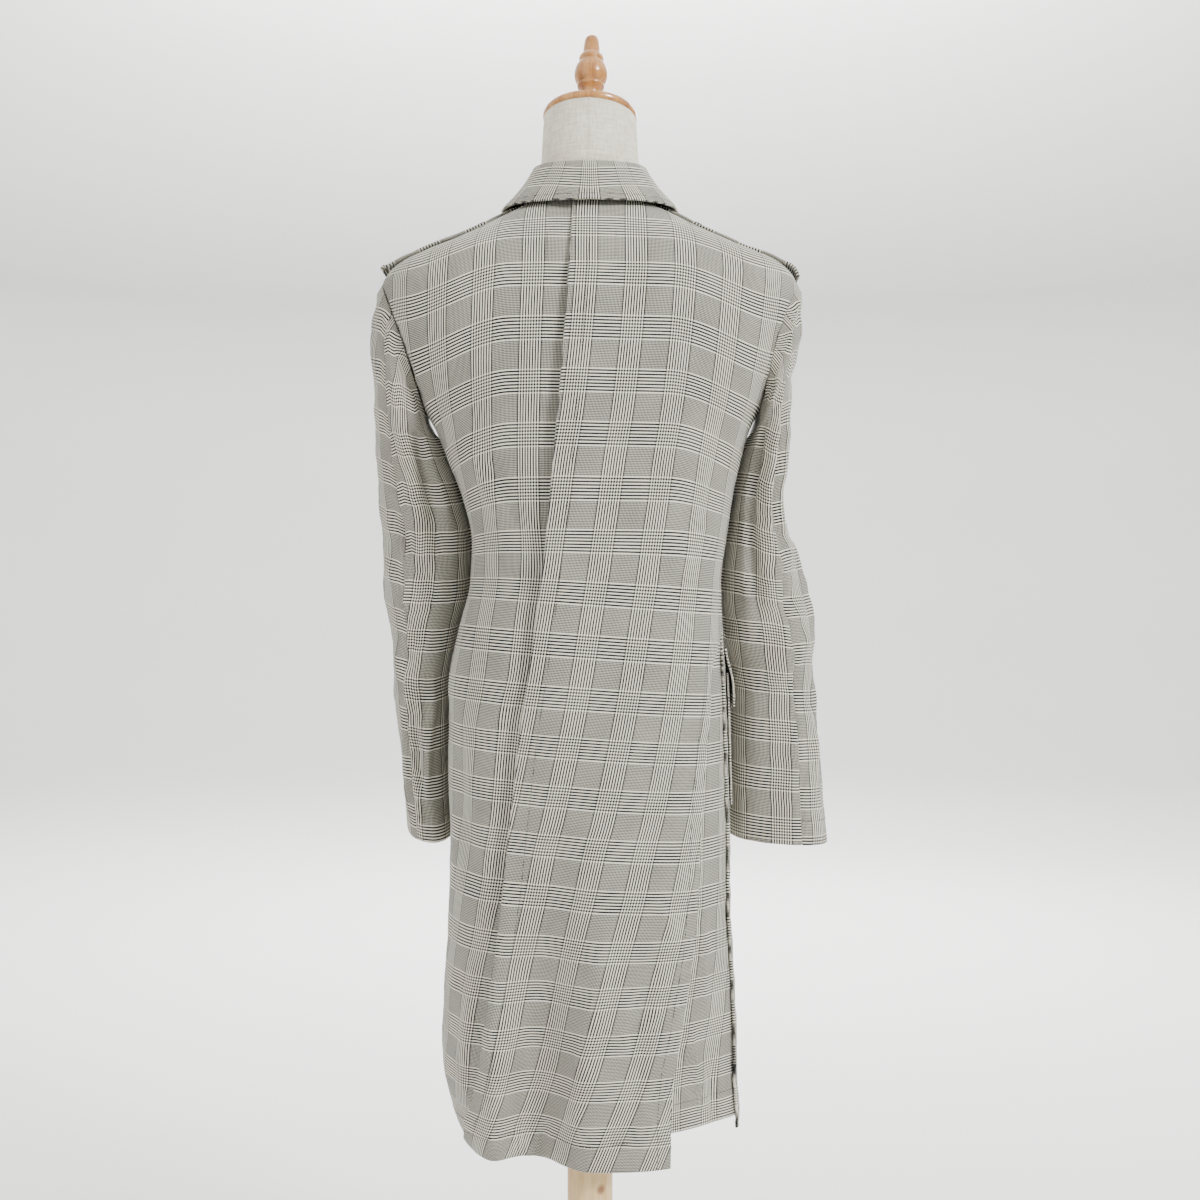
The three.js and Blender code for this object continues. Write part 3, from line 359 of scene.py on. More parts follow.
def angle_at_x(x, z):
    half = np.where(np.asarray(x) < 0, body_left(z), body_right(z))
    share = np.minimum(1, np.abs(x) / half) ** (BODY_ROUNDNESS / 2)
    return np.sign(x) * np.degrees(np.arcsin(share))


def angle_from_side(y, depth):
    return np.degrees(np.arccos(np.minimum(1, y / depth) ** (BODY_ROUNDNESS / 2)))


ARMHOLE_MIDDLE = (UNDERARM_Z + SHOULDER_TIP_Z) / 2
ARMHOLE_HALF = (SHOULDER_TIP_Z - UNDERARM_Z) / 2


def armhole_row(turn, back):
    """Height and angle of a panel's armhole edge: turn 0 is the underarm, 180 the shoulder tip."""
    turn = np.radians(turn)
    z = ARMHOLE_MIDDLE - ARMHOLE_HALF * np.cos(turn)
    reach = np.maximum((ARMHOLE_BACK_DEPTH if back else ARMHOLE_FRONT_DEPTH) * np.sin(turn), SEAM_OFFSET)
    return z, angle_from_side(reach, body_back(z) if back else body_front(z))


def panel_rows(back):
    """Heights and side angles of a panel's rows: up the skirt, the armhole and over the shoulder."""
    depth = body_back if back else body_front
    skirt = np.linspace(HEM_Z, UNDERARM_Z, 150)[:-1]
    hole_z, hole_angle = armhole_row(np.linspace(0, 180, 37), back)
    top = np.linspace(SHOULDER_TIP_Z, BACK_NECK_Z if back else NECK_POINT_Z, 20)[1:]
    z = np.concatenate([skirt, hole_z, top])
    side = np.concatenate(
        [angle_from_side(SEAM_OFFSET, depth(skirt)), hole_angle, angle_from_side(SEAM_OFFSET, depth(top))]
    )
    return z, side


def edge_shares(count):
    """Shares from 0 to 1 across a panel, closer together at both edges."""
    inner = np.linspace(0, 1, count)
    return np.concatenate([[0, 0.004, 0.011], inner[1:-1] * 0.956 + 0.022, [0.989, 0.996, 1]])


def grid_normals(grid):
    across = np.empty_like(grid)
    across[:, 1:-1] = grid[:, 2:] - grid[:, :-2]
    across[:, 0] = grid[:, 1] - grid[:, 0]
    across[:, -1] = grid[:, -1] - grid[:, -2]
    up = np.empty_like(grid)
    up[1:-1] = grid[2:] - grid[:-2]
    up[0] = grid[1] - grid[0]
    up[-1] = grid[-1] - grid[-2]
    normal = np.cross(across, up)
    return normal / np.maximum(np.linalg.norm(normal, axis=-1, keepdims=True), TINY)


def arc_lengths(grid, axis):
    """Distance along the rows (axis 1) or columns (axis 0) of a grid of points."""
    step = np.linalg.norm(np.diff(grid, axis=axis), axis=-1)
    zero = np.zeros_like(np.take(step, [0], axis=axis))
    return np.concatenate([zero, np.cumsum(step, axis=axis)], axis=axis)


def point_on(at, along, values):
    """The point or direction where a line's own measure, along, reads at."""
    return np.array([np.interp(at, along, values[:, k]) for k in range(3)])


def crinkle(grid, size, height, seed):
    """Soft uneven crumpling of worn cloth, in millimetres, over a grid of points."""
    out = np.empty(grid.shape[:2])
    for j, row in enumerate(grid):
        for i, p in enumerate(row):
            out[j, i] = noise.noise(Vector(p / size) + Vector((seed, 7.3, 1.9)))
    return out * height


def creases(lines, a, b):
    """Sum of listed creases over coordinates a and b. Each is a start, an end, a depth and a half
    width, a ridge where the depth is above zero."""
    total = np.zeros(np.broadcast(a, b).shape)
    for a0, b0, a1, b1, depth, half_width in lines:
        da, db = a1 - a0, b1 - b0
        length = math.hypot(da, db)
        along = ((a - a0) * da + (b - b0) * db) / length**2
        off = np.abs((a - a0) * db - (b - b0) * da) / length / half_width
        past = np.clip(np.abs(along - 0.5) - 0.5, 0, None) * length / half_width
        reach = np.sqrt(off**2 + past**2)
        fade = np.sin(np.clip(along, 0, 1) * math.pi) ** 0.5
        total += np.where(reach < 1, depth * fade * np.cos(np.minimum(reach, 1) * math.pi / 2) ** 2, 0)
    return total


def cloth_piece(name, grid, uv, wall, material):
    """A thin cloth shell over a grid of outer points, its inner face along the normals, its rim rounded.
    Rows run up, columns to the right as seen from outside. uv is the cloth's own measure in metres."""
    rows, columns = grid.shape[:2]
    normal = grid_normals(grid)
    wall = np.broadcast_to(wall, (rows, columns))[..., None]
    inner = grid - normal * wall
    ring = (
        [(0, i) for i in range(columns)]
        + [(j, columns - 1) for j in range(1, rows)]
        + [(rows - 1, i) for i in range(columns - 2, -1, -1)]
        + [(j, 0) for j in range(rows - 2, 0, -1)]
    )
    step = {0: (1, 0), rows - 1: (-1, 0)}
    rim = []
    for j, i in ring:
        inward = np.zeros(3)
        if j in step and 0 <= j + step[j][0] < rows:
            away = grid[j, i] - grid[j + step[j][0], i]
            inward += away / max(np.linalg.norm(away), TINY)
        if i in (0, columns - 1):
            away = grid[j, i] - grid[j, i + (1 if i == 0 else -1)]
            inward += away / max(np.linalg.norm(away), TINY)
        inward /= max(np.linalg.norm(inward), TINY)
        rim.append((grid[j, i] + inner[j, i]) / 2 + inward * wall[j, i] * RIM_ROUNDING)
    vertices = np.concatenate([grid.reshape(-1, 3), inner.reshape(-1, 3), np.array(rim)]) * MM
    count = rows * columns
    faces = []
    for j in range(rows - 1):
        for i in range(columns - 1):
            a = j * columns + i
            faces.append((a, a + 1, a + 1 + columns, a + columns))
            faces.append((count + a + 1, count + a, count + a + columns, count + a + 1 + columns))
    for k in range(len(ring)):
        nxt = (k + 1) % len(ring)
        a = ring[k][0] * columns + ring[k][1]
        b = ring[nxt][0] * columns + ring[nxt][1]
        faces.append((b, a, 2 * count + k, 2 * count + nxt))
        faces.append((2 * count + nxt, 2 * count + k, count + a, count + b))
    mesh = bpy.data.meshes.new(name)
    mesh.from_pydata([tuple(v) for v in vertices], [], faces)
    flat = uv.reshape(-1, 2)
    rim_uv = np.array([uv[j, i] for j, i in ring])
    all_uv = np.concatenate([flat, flat, rim_uv])
    layer = mesh.uv_layers.new(name="cloth")
    corner = np.empty(len(mesh.loops), np.int32)
    mesh.loops.foreach_get("vertex_index", corner)
    layer.data.foreach_set("uv", all_uv[corner].astype(np.float32).ravel())
    mesh.shade_smooth()
    mesh.materials.append(material)
    return place_object(name, mesh)


def inside_line(grid, edge, distance):
    """A line on a piece a set distance inside one edge: its points and the directions out of the cloth."""
    normal = grid_normals(grid)
    if edge in ("low", "high"):
        grid, normal = grid.swapaxes(0, 1), normal.swapaxes(0, 1)
    if edge in ("right", "high"):
        grid, normal = grid[:, ::-1], normal[:, ::-1]
    along = arc_lengths(grid, 1)

    line = np.array([point_on(distance, s, row) for s, row in zip(along, grid)])
    out = np.array([point_on(distance, s, row) for s, row in zip(along, normal)])
    return line, out


def threads(name, bars, radius, material):
    """Short lengths of thread lying on a piece: each bar dives into it at both of its ends."""
    data = bpy.data.curves.new(name, "CURVE")
    data.dimensions = "3D"
    data.bevel_depth = radius * MM
    data.bevel_resolution = 1
    data.use_fill_caps = True
    for start, end, out in bars:
        spline = data.splines.new("POLY")
        spline.points.add(len(STITCH_RUN) - 1)
        for n, (share, rise) in enumerate(STITCH_RUN):
            place = mix(start, end, share) + out * (rise * radius)
            spline.points[n].co = (*(place * MM), 1)
    obj = place_object(name, data)
    clear_selection()
    obj.select_set(True)
    bpy.context.view_layer.objects.active = obj
    bpy.ops.object.convert(target="MESH")
    obj.data.materials.append(material)
    obj.data.shade_smooth()
    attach(obj, "root")


def stitch_row(name, line, normal, keep=None):
    """A row of machine stitches along a line on the cloth."""
    if keep is not None:
        line, normal = line[keep], normal[keep]
    step = np.linalg.norm(np.diff(line, axis=0), axis=1)
    along = np.concatenate([[0], np.cumsum(step)])
    bars = []
    for k in range(int(along[-1] / STITCH_PITCH)):
        start, end = k * STITCH_PITCH, k * STITCH_PITCH + STITCH_LENGTH
        out = point_on((start + end) / 2, along, normal)
        bars.append((point_on(start, along, line), point_on(end, along, line), out))
    threads(name, bars, STITCH_RADIUS, THREAD)


# Materials


def linear(code):
    """An sRGB hex colour as linear red, green, blue and alpha."""
    channels = [int(code[i : i + 2], 16) / 255 for i in (0, 2, 4)]
    return (*[c / 12.92 if c <= 0.04045 else ((c + 0.055) / 1.055) ** 2.4 for c in channels], 1)


def new_material(name):
    material = bpy.data.materials.new(name)
    material.use_nodes = True
    nodes = material.node_tree.nodes
    return material, nodes["Principled BSDF"]


def set_inputs(node, inputs):
    """Gives each input of a node its value, or links another node's output to it."""
    for key, value in inputs.items():
        if isinstance(value, bpy.types.NodeSocket):
            node.id_data.links.new(value, node.inputs[key])
        else:
            node.inputs[key].default_value = value


def add(material, kind, inputs=None, **settings):
    """Adds a node with its settings; an input is a value or another node's output socket."""
    node = material.node_tree.nodes.new(kind)
    for key, value in settings.items():
        setattr(node, key, value)
    set_inputs(node, inputs or {})
    return node


CHECK_ACROSS = 50.4
CHECK_ALONG = 53.4
LINES_ACROSS = 18
LINES_ALONG = 16
BAND_ACROSS = 8.5 / 18
BAND_ALONG = 7.5 / 16
# Mean dark share of the fine squares and of a band, and how crisp the edges of their lines are
FINE_DARK, FINE_EDGE = 0.55, 1.1
BAND_DARK, BAND_EDGE = 0.47, 2.2


def thread_share(material, coordinate, repeat, lines, band):
    """Dark share of one set of threads, and where its band is: coarse lines in the band, lines half as
    wide beside it."""
    at = add(
        material, "ShaderNodeMath", {0: coordinate, 1: 1 / (repeat * MM)}, operation="MULTIPLY"
    ).outputs[0]
    off_band = add(material, "ShaderNodeMath", {0: at, 1: 0.5}, operation="PINGPONG").outputs[0]
    in_band = add(material, "ShaderNodeMath", {0: off_band, 1: band / 2}, operation="LESS_THAN").outputs[0]
    shares = []
    for count, edge, mean in ((2 * lines, FINE_EDGE, FINE_DARK), (lines, BAND_EDGE, BAND_DARK)):
        turn = add(
            material, "ShaderNodeMath", {0: at, 1: 2 * math.pi * count}, operation="MULTIPLY"
        ).outputs[0]
        wave = add(material, "ShaderNodeMath", {0: turn}, operation="COSINE").outputs[0]
        square = {0: wave, 1: -1 / edge, 2: 1 / edge, 3: mean - 0.5, 4: mean + 0.5}
        shares.append(add(material, "ShaderNodeMapRange", square).outputs[0])
    return add(material, "ShaderNodeMix", {0: in_band, 2: shares[0], 3: shares[1]}).outputs[0], in_band


def check_cloth():
    """Light wool and cotton glen check, woven in 2/2 twill: matt, a short nap catching light at the edges."""
    material, shader = new_material("woven_glen_check_cloth")
    uv = add(material, "ShaderNodeUVMap", uv_map="cloth").outputs[0]
    split = add(material, "ShaderNodeSeparateXYZ", {0: uv})
    warp, warp_band = thread_share(material, split.outputs[0], CHECK_ACROSS, LINES_ACROSS, BAND_ACROSS)
    weft, weft_band = thread_share(material, split.outputs[1], CHECK_ALONG, LINES_ALONG, BAND_ALONG)
    # Both sets show alike, but where only one of them has its band, that set covers three quarters
    more_weft = add(
        material, "ShaderNodeMath", {0: weft_band, 1: warp_band}, operation="SUBTRACT"
    ).outputs[0]
    weight = add(
        material, "ShaderNodeMapRange", {0: more_weft, 1: -1.0, 2: 1.0, 3: 0.24, 4: 0.76}
    ).outputs[0]
    dark = add(material, "ShaderNodeMix", {0: weight, 2: warp, 3: weft}).outputs[0]
    dark = add(
        material,
        "ShaderNodeMapRange",
        {0: dark, 1: -0.1, 2: 0.8, 3: -0.23, 4: 0.77},
        interpolation_type="SMOOTHSTEP",
    ).outputs[0]
    # Slubs about 1 mm apart in the yarn, and patches of wear about 40 mm wide
    for waves_a_metre, detail, strength in ((900.0, 3.0, 0.3), (26.0, 4.0, 0.16)):
        uneven = add(
            material, "ShaderNodeTexNoise", {"Vector": uv, "Scale": waves_a_metre, "Detail": detail}
        ).outputs[0]
        dark = add(
            material, "ShaderNodeMath", {0: uneven, 1: strength, 2: dark}, operation="MULTIPLY_ADD"
        ).outputs[0]
    colour = add(
        material,
        "ShaderNodeMix",
        {0: dark, 6: linear("F6F1DF"), 7: linear("121214")},
        data_type="RGBA",
        clamp_factor=True,
    ).outputs[2]
    # Twill ribs about 2 mm apart, drawn coarser than the real threads so that they show
    ribs = add(
        material,
        "ShaderNodeTexWave",
        {"Vector": uv, "Scale": 200.0, "Distortion": 1.2, "Detail": 1.0},
        bands_direction="DIAGONAL",
    ).outputs["Fac"]
    ribs = add(material, "ShaderNodeMath", {0: ribs, 1: 0.5}, operation="MULTIPLY").outputs[0]
    crumple = add(material, "ShaderNodeTexNoise", {"Vector": uv, "Scale": 70.0, "Detail": 4.0}).outputs[0]
    height = add(
        material, "ShaderNodeMath", {0: crumple, 1: 3.0, 2: ribs}, operation="MULTIPLY_ADD"
    ).outputs[0]
    bump = add(material, "ShaderNodeBump", {"Height": height, "Strength": 0.5, "Distance": 0.0006})
    set_inputs(
        shader,
        {
            "Base Color": colour,
            "Normal": bump.outputs[0],
            "Roughness": 0.92,
            "Sheen Weight": 0.12,
            "Sheen Roughness": 0.6,
            "Specular IOR Level": 0.25,
        },
    )
    return material


def linen_cloth():
    """Unbleached linen cover in plain weave: matt cream, uneven slubby threads both ways."""
    material, shader = new_material("plain_woven_cream_linen")
    place = add(material, "ShaderNodeTexCoord").outputs["Object"]
    # Threads about 1.6 mm apart, drawn coarser than real ones so that they show, and eight times as long
    weave = []
    for stretch in ((1, 1, 0.12), (0.12, 0.12, 1)):
        along = add(material, "ShaderNodeMapping", {"Vector": place, "Scale": stretch}).outputs[0]
        noise_inputs = {"Vector": along, "Scale": 620.0, "Detail": 2.0}
        weave.append(add(material, "ShaderNodeTexNoise", noise_inputs).outputs[0])
    cross = add(material, "ShaderNodeMath", {0: weave[0], 1: weave[1]}, operation="ADD").outputs[0]
    patches = add(material, "ShaderNodeTexNoise", {"Vector": place, "Scale": 14.0, "Detail": 4.0}).outputs[0]
    tone = add(
        material, "ShaderNodeMath", {0: patches, 1: 0.3, 2: cross}, operation="MULTIPLY_ADD"
    ).outputs[0]
    tone = add(material, "ShaderNodeMapRange", {"Value": tone, "From Min": 0.85, "From Max": 1.5}).outputs[0]
    colour = add(
        material, "ShaderNodeMix", {0: tone, 6: linear("D6CDB6"), 7: linear("FBF5E4")}, data_type="RGBA"
    ).outputs[2]
    bump = add(material, "ShaderNodeBump", {"Height": cross, "Strength": 0.5, "Distance": 0.0004})
    set_inputs(
        shader, {"Base Color": colour, "Normal": bump.outputs[0], "Roughness": 0.95, "Sheen Weight": 0.1}
    )
    return material


def wood(name, light, dark, grain, roughness, coat, tilt=(0, 0, 0), knot=None):
    """Turned wood under varnish: streaks along the turning axis, darker pores, a small knot, a clear
    gloss. Grain is the number of streaks in a metre, the pores six times as many."""
    material, shader = new_material(name)
    place = add(material, "ShaderNodeTexCoord").outputs["Object"]
    along = add(
        material, "ShaderNodeMapping", {"Vector": place, "Rotation": tilt, "Scale": (1, 1, 0.09)}
    ).outputs[0]
    streak = add(
        material, "ShaderNodeTexNoise", {"Vector": along, "Scale": grain, "Detail": 5.0, "Distortion": 0.4}
    ).outputs[0]
    pores = add(
        material, "ShaderNodeTexNoise", {"Vector": along, "Scale": grain * 6, "Detail": 2.0}
    ).outputs[0]
    both = add(
        material, "ShaderNodeMath", {0: pores, 1: 0.35, 2: streak}, operation="MULTIPLY_ADD"
    ).outputs[0]
    tone = add(material, "ShaderNodeMapRange", {"Value": both, "From Min": 0.45, "From Max": 0.95}).outputs[0]
    colour = add(
        material, "ShaderNodeMix", {0: tone, 6: linear(light), 7: linear(dark)}, data_type="RGBA"
    ).outputs[2]
    if knot:
        apart = add(material, "ShaderNodeVectorMath", {0: place, 1: knot}, operation="DISTANCE")
        ring = add(
            material,
            "ShaderNodeMapRange",
            {
                "Value": apart.outputs["Value"],
                "From Min": 0.0025,
                "From Max": 0.007,
                "To Min": 0.85,
                "To Max": 0.0,
            },
        ).outputs[0]
        colour = add(
            material, "ShaderNodeMix", {0: ring, 6: colour, 7: linear("7A4520")}, data_type="RGBA"
        ).outputs[2]
    bump = add(material, "ShaderNodeBump", {"Height": both, "Strength": 0.15, "Distance": 0.0004})
    set_inputs(
        shader,
        {
            "Base Color": colour,
            "Normal": bump.outputs[0],
            "Roughness": roughness,
            "Coat Weight": coat,
            "Coat Roughness": 0.12,
        },
    )
    return material


def clouded(name, waves_a_metre, detail, low, high, roughness):
    """A finish whose colour drifts between two near tones."""
    material, shader = new_material(name)
    place = add(material, "ShaderNodeTexCoord").outputs["Object"]
    cloud = add(
        material, "ShaderNodeTexNoise", {"Vector": place, "Scale": waves_a_metre, "Detail": detail}
    ).outputs[0]
    colour = add(
        material, "ShaderNodeMix", {0: cloud, 6: linear(low), 7: linear(high)}, data_type="RGBA"
    ).outputs[2]
    set_inputs(shader, {"Base Color": colour, "Roughness": roughness})
    return material


CHECK = check_cloth()
# Dark sewing cotton: matt, twisted, so that its tone runs in bands about 0.4 mm long
THREAD = clouded("twisted_dark_sewing_cotton", 2400.0, 2.0, "1E1D1F", "4A4744", 0.85)
LINEN = linen_cloth()
# Pressed casein: near black, satin polished, faint clouds about 6 mm wide
BUTTON = clouded("satin_polished_black_button", 160.0, 3.0, "17161A", "34302E", 0.28)
CAP_TURN = math.radians(CAP_TILT)
CAP_WOOD = wood("varnished_turned_beech", "D59A4E", "8A4A17", 90.0, 0.28, 0.6, (CAP_TURN, 0, 0))
KNOT = (0.012, -0.021, 0.372)
POLE_WOOD = wood("thinly_varnished_pine", "E8CB96", "C79B5C", 70.0, 0.5, 0.15, knot=KNOT)
BASE_WOOD = wood("varnished_beech_base", "D59A4E", "8A4A17", 60.0, 0.3, 0.5)


def dress(obj, nodes):
    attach(obj, "root")
    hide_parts(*nodes)
    return obj


# Back panels


def roll_edges(grid, left, right):
    """Turns the outermost few millimetres of a panel's side edges in, as along a pressed seam."""
    normal = grid_normals(grid)
    along = arc_lengths(grid, 1)
    total = along[:, -1:]
    for use, distance in ((left, along), (right, total - along)):
        if use:
            turn = np.clip(1 - distance / SEAM_ROLL_REACH, 0, 1) ** 2
            grid = grid - normal * (turn * SEAM_ROLL)[..., None]
    return grid


# How the check lies on the back: z, x of one dark band's middle on the right panel, and on the left panel
WARP_LINES = [
    (440, -32, -134), (477, -20.8, -131), (522, -6, -129), (567, 8, -125), (609, 19.3, -119),
    (654, 31, -111), (703, 44.4, -101), (753, 56, -94), (781, 63.7, -89), (873, 82.4, -80),
    (926, 91, -70), (979, 98, -64), (1033, 105, -58), (1086, 112.4, -61), (1140, 120, -61.6),
    (1219, 134, -60), (1273, 141, -58.5), (1328, 145.8, -56.5), (1380, 149, -54.5), (1421, 151, -53),
]
# Levels of the dark bands at the centre back, one repeat of the check apart
WEFT_LEVELS = [
    (430, -1), (475, 0), (519, 1), (563, 2), (609, 3), (653, 4), (702, 5), (752, 6), (801, 7), (850, 8),
    (899, 9), (951.6, 10), (1005, 11), (1058.4, 12), (1111.3, 13), (1165.8, 14), (1218.7, 15), (1272, 16),
    (1327.5, 17), (1380.5, 18), (1433, 19),
]
# Above this level the bands run on from one nearer the middle of the back
YOKE_LEVEL = 1335
# The cross bands droop toward the armholes by this much, from these x and z over these reaches
BACK_DROOP = 27
FRONT_DROOP = 24
DROOP_X, DROOP_X_REACH = 80, 110
DROOP_Z, DROOP_Z_REACH = 1010, 130
# They lean across the skirt's back: slope, x without lean, levels and reaches of its top and foot
SKIRT_LEAN = 0.07
LEAN_X = 20
LEAN_TOP, LEAN_TOP_REACH = 1080, 90
LEAN_FOOT, LEAN_FOOT_REACH = 560, 200
warp_right = curve(WARP_LINES, 1)
warp_left = curve(WARP_LINES, 2)
weft_level = curve(WEFT_LEVELS, 1)


def armhole_droop(x, z):
    return smooth((np.abs(x) - DROOP_X) / DROOP_X_REACH) * smooth((z - DROOP_Z) / DROOP_Z_REACH)


def back_uv(grid, line):
    """The check's own measure over a back panel: across from one band's middle, along from the hem."""
    x, z = grid[..., 0], grid[..., 2]
    along = arc_lengths(grid, 1)
    at = np.array([np.interp(line(row_z[0]), row_x, s) for row_x, row_z, s in zip(x, z, along)])
    u = along - at[:, None]
    turn = int(np.argmin(np.abs(z[:, 0] - YOKE_LEVEL)))
    inner_x = np.interp(-2 * CHECK_ACROSS * np.sign(line(YOKE_LEVEL)), u[turn], x[turn])
    for j in range(turn, len(z)):
        u[j] = along[j] - np.interp(inner_x, x[j], along[j]) + np.interp(inner_x, x[turn], u[turn])
    lean = SKIRT_LEAN * (x - LEAN_X) * smooth((LEAN_TOP - z) / LEAN_TOP_REACH)
    lean = lean * smooth((z - LEAN_FOOT) / LEAN_FOOT_REACH)
    v = weft_level(z + BACK_DROOP * armhole_droop(x, z) + lean) * CHECK_ALONG
    return np.stack([u * MM, v * MM], axis=-1)


BACK_LEFT_CREASES = [
    (-60, 930, -112, 860, 4, 16), (-150, 900, -120, 700, -4, 20), (-118, 640, -128, 480, 4, 16),
    (-75, 930, -95, 640, -3, 16), (-100, 1140, -60, 1040, -3, 16), (-128, 1180, -100, 1100, 4, 14),
    (-122, 505, -106, 455, 4, 7), (-118, 490, -100, 470, -3, 6),
]
BACK_RIGHT_CREASES = [
    (20, 690, -20, 450, 4, 16), (60, 640, 28, 440, -5, 17), (45, 560, 30, 470, 3, 12),
    (-30, 900, -62, 640, 3, 20), (60, 720, 96, 640, 2.5, 12), (74, 600, 40, 560, 2.5, 9),
    (10, 590, 50, 545, 2, 9), (-80, 700, -104, 520, 3, 14), (120, 1080, 60, 1000, 2, 16),
    (100, 980, 122, 860, 2, 14), (150, 1190, 120, 1080, -3, 16), (165, 1230, 130, 1120, 3, 12),
    (62, 1130, 40, 1060, 1.5, 12), (-40, 480, -58, 442, -4, 9), (-75, 470, -60, 442, 3, 8),
]


def finish_panel(grid, lines, seed, left_roll, right_roll):
    """Adds the creases and the crumple of worn cloth to a panel's outer points."""
    relief = creases(lines, grid[..., 0], grid[..., 2])
    low = smooth((CRUMPLE_FADE_Z - grid[..., 2]) / CRUMPLE_FADE)
    for shift, (size, height, share, gain) in zip((0, 5), PANEL_CRUMPLE):
        relief = relief + crinkle(grid, size, height, seed + shift) * (share + gain * low)
    along = arc_lengths(grid, 1)
    beside = np.minimum(along, along[:, -1:] - along)
    pucker = crinkle(grid * SEAM_PUCKER_STRETCH, SEAM_PUCKER_SIZE, SEAM_PUCKER, seed + 9)
    relief = relief + pucker * smooth(1 - beside / SEAM_PUCKER_REACH)
    return roll_edges(grid + grid_normals(grid) * relief[..., None], left_roll, right_roll)


def turned_wall(grid, hem=HEM_TURNING, left=0, right=0):
    """Wall of a panel: doubled where its hem or a side edge is turned in."""
    along = arc_lengths(grid, 1)
    double = np.zeros_like(along)
    edges = ((hem, arc_lengths(grid, 0)), (left, along), (right, along[:, -1:] - along))
    for turning, inside in edges:
        if turning:
            double = np.maximum(double, smooth((turning - inside) / TURN_EASE + 0.5))
    return mix(WALL, TURNED_WALL, double)


def tack_row(name, grid, x, low, high):
    """The short upright row of stitches that holds the top of the pleat."""
    normal = grid_normals(grid)
    line = np.array([point_on(x, row[:, 0], row) for row in grid])
    out = np.array([point_on(x, row[:, 0], n) for row, n in zip(grid, normal)])
    level = line[:, 2]
    stitch_row(name, line, out, (level > low - STITCH_END_GAP) & (level < high + STITCH_END_GAP))


def back_left():
    z, side = panel_rows(True)
    inside = np.minimum(angle_at_x(pleat_x(z) + PLEAT_UNDERLAP, z), PLEAT_LIMIT)
    angle = mix(-side[:, None], inside[:, None], edge_shares(count=36))
    z = z[:, None]
    grid = body_point(angle, z)
    sink = pleat_sunk(z) * smooth(1 - (pleat_x(z) - grid[..., 0]) / PLEAT_SINK_REACH)
    grid[..., 1] += sink * smooth(np.cos(np.radians(angle)) * FOLD_FADE)
    uv = back_uv(grid, warp_left)
    grid = finish_panel(grid, BACK_LEFT_CREASES, 3.1, True, False)
    obj = cloth_piece("back_left_panel", grid, uv, turned_wall(grid), CHECK)
    dress(obj, ["back_left"])
    stitch_row("hem_stitches_back_left", *inside_line(grid, "low", HEM_TURNING))
    tack_row("pleat_tack_left", grid, *TACK_ROWS[0])


def vent_closed(z):
    """0 where the vent is open, 1 where it is sewn into the side seam."""
    return smooth((z - VENT_TOP_Z + VENT_EASE_BELOW) / VENT_EASE)


def back_right():
    z, side = panel_rows(True)
    start = angle_at_x(pleat_x(z), z)
    open_edge = angle_at_x(vent_x(z), z)
    end = mix(open_edge, side, vent_closed(z))
    angle = mix(start[:, None], end[:, None], edge_shares(count=56))
    z = z[:, None]
    grid = body_point(angle, z)
    grid[..., 1] -= pleat_proud(z) * (1 - smooth((grid[..., 0] - pleat_x(z)) / PLEAT_REACH))
    uv = back_uv(grid, warp_right)
    grid = finish_panel(grid, BACK_RIGHT_CREASES, 11.7, False, False)
    wall = turned_wall(grid, HEM_TURNING, PLEAT_TURNING, VENT_TURNING)
    obj = cloth_piece("back_right_panel", grid, uv, wall, CHECK)
    dress(obj, ["back_right"])
    stitch_row("hem_stitches_back_right", *inside_line(grid, "low", HEM_TURNING))
    line, out = inside_line(grid, "left", PLEAT_TURNING)
    stitch_row("pleat_strip_stitches", line, out, line[:, 2] > HEM_Z + HEM_TURNING)
    line, out = inside_line(grid, "right", VENT_TURNING)
    stitch_row("vent_edge_stitches", line, out, line[:, 2] < VENT_TOP_Z)
    tack_row("pleat_tack_right", grid, *TACK_ROWS[1])


def vent_underlay():
    rows, columns = 90, 16
    low = HEM_Z + UNDERLAY_HEM_RISE
    z = np.linspace(low, VENT_TOP_Z + UNDERLAY_SEWN, rows)
    recess = mix(VENT_RECESS_TOP, VENT_RECESS_HEM, smooth((VENT_TOP_Z - z) / (VENT_TOP_Z - low)))
    hidden = body_point(angle_at_x(vent_x(z) - VENT_UNDERLAP, z), z)
    hidden[:, 1] += recess
    outer = body_point(angle_from_side(SLIT_DEPTH - SLIT_TUCK, body_back(z)), z, -UNDERLAY_DEPTH)
    bow = (hidden + outer) / 2 + np.array([UNDERLAY_BOW, -UNDERLAY_BOW, 0])
    s = np.linspace(0, 1, columns)[None, :, None]
    grid = mix(mix(hidden[:, None], bow[:, None], s), mix(bow[:, None], outer[:, None], s), s)
    u = arc_lengths(grid, 1) + UNDERLAY_CHECK_START
    v = weft_level(grid[..., 2] + UNDERLAY_CHECK_DROP) * CHECK_ALONG
    uv = np.stack([u * MM, v * MM], axis=-1)
    grid = finish_panel(grid, UNDERLAY_CREASES, 23.3, False, False)
    obj = cloth_piece("vent_underlay_panel", grid, uv, turned_wall(grid), CHECK)
    dress(obj, ["vent_underlay"])
    stitch_row("hem_stitches_underlay", *inside_line(grid, "low", HEM_TURNING))


# Fronts


def front_neck_x(z):
    down = (NECK_RIDGE_Z - z) / (NECK_RIDGE_Z - FRONT_NECK_Z)
    return NECK_HALF_WIDTH * np.sqrt(np.maximum(0, 1 - down * down))


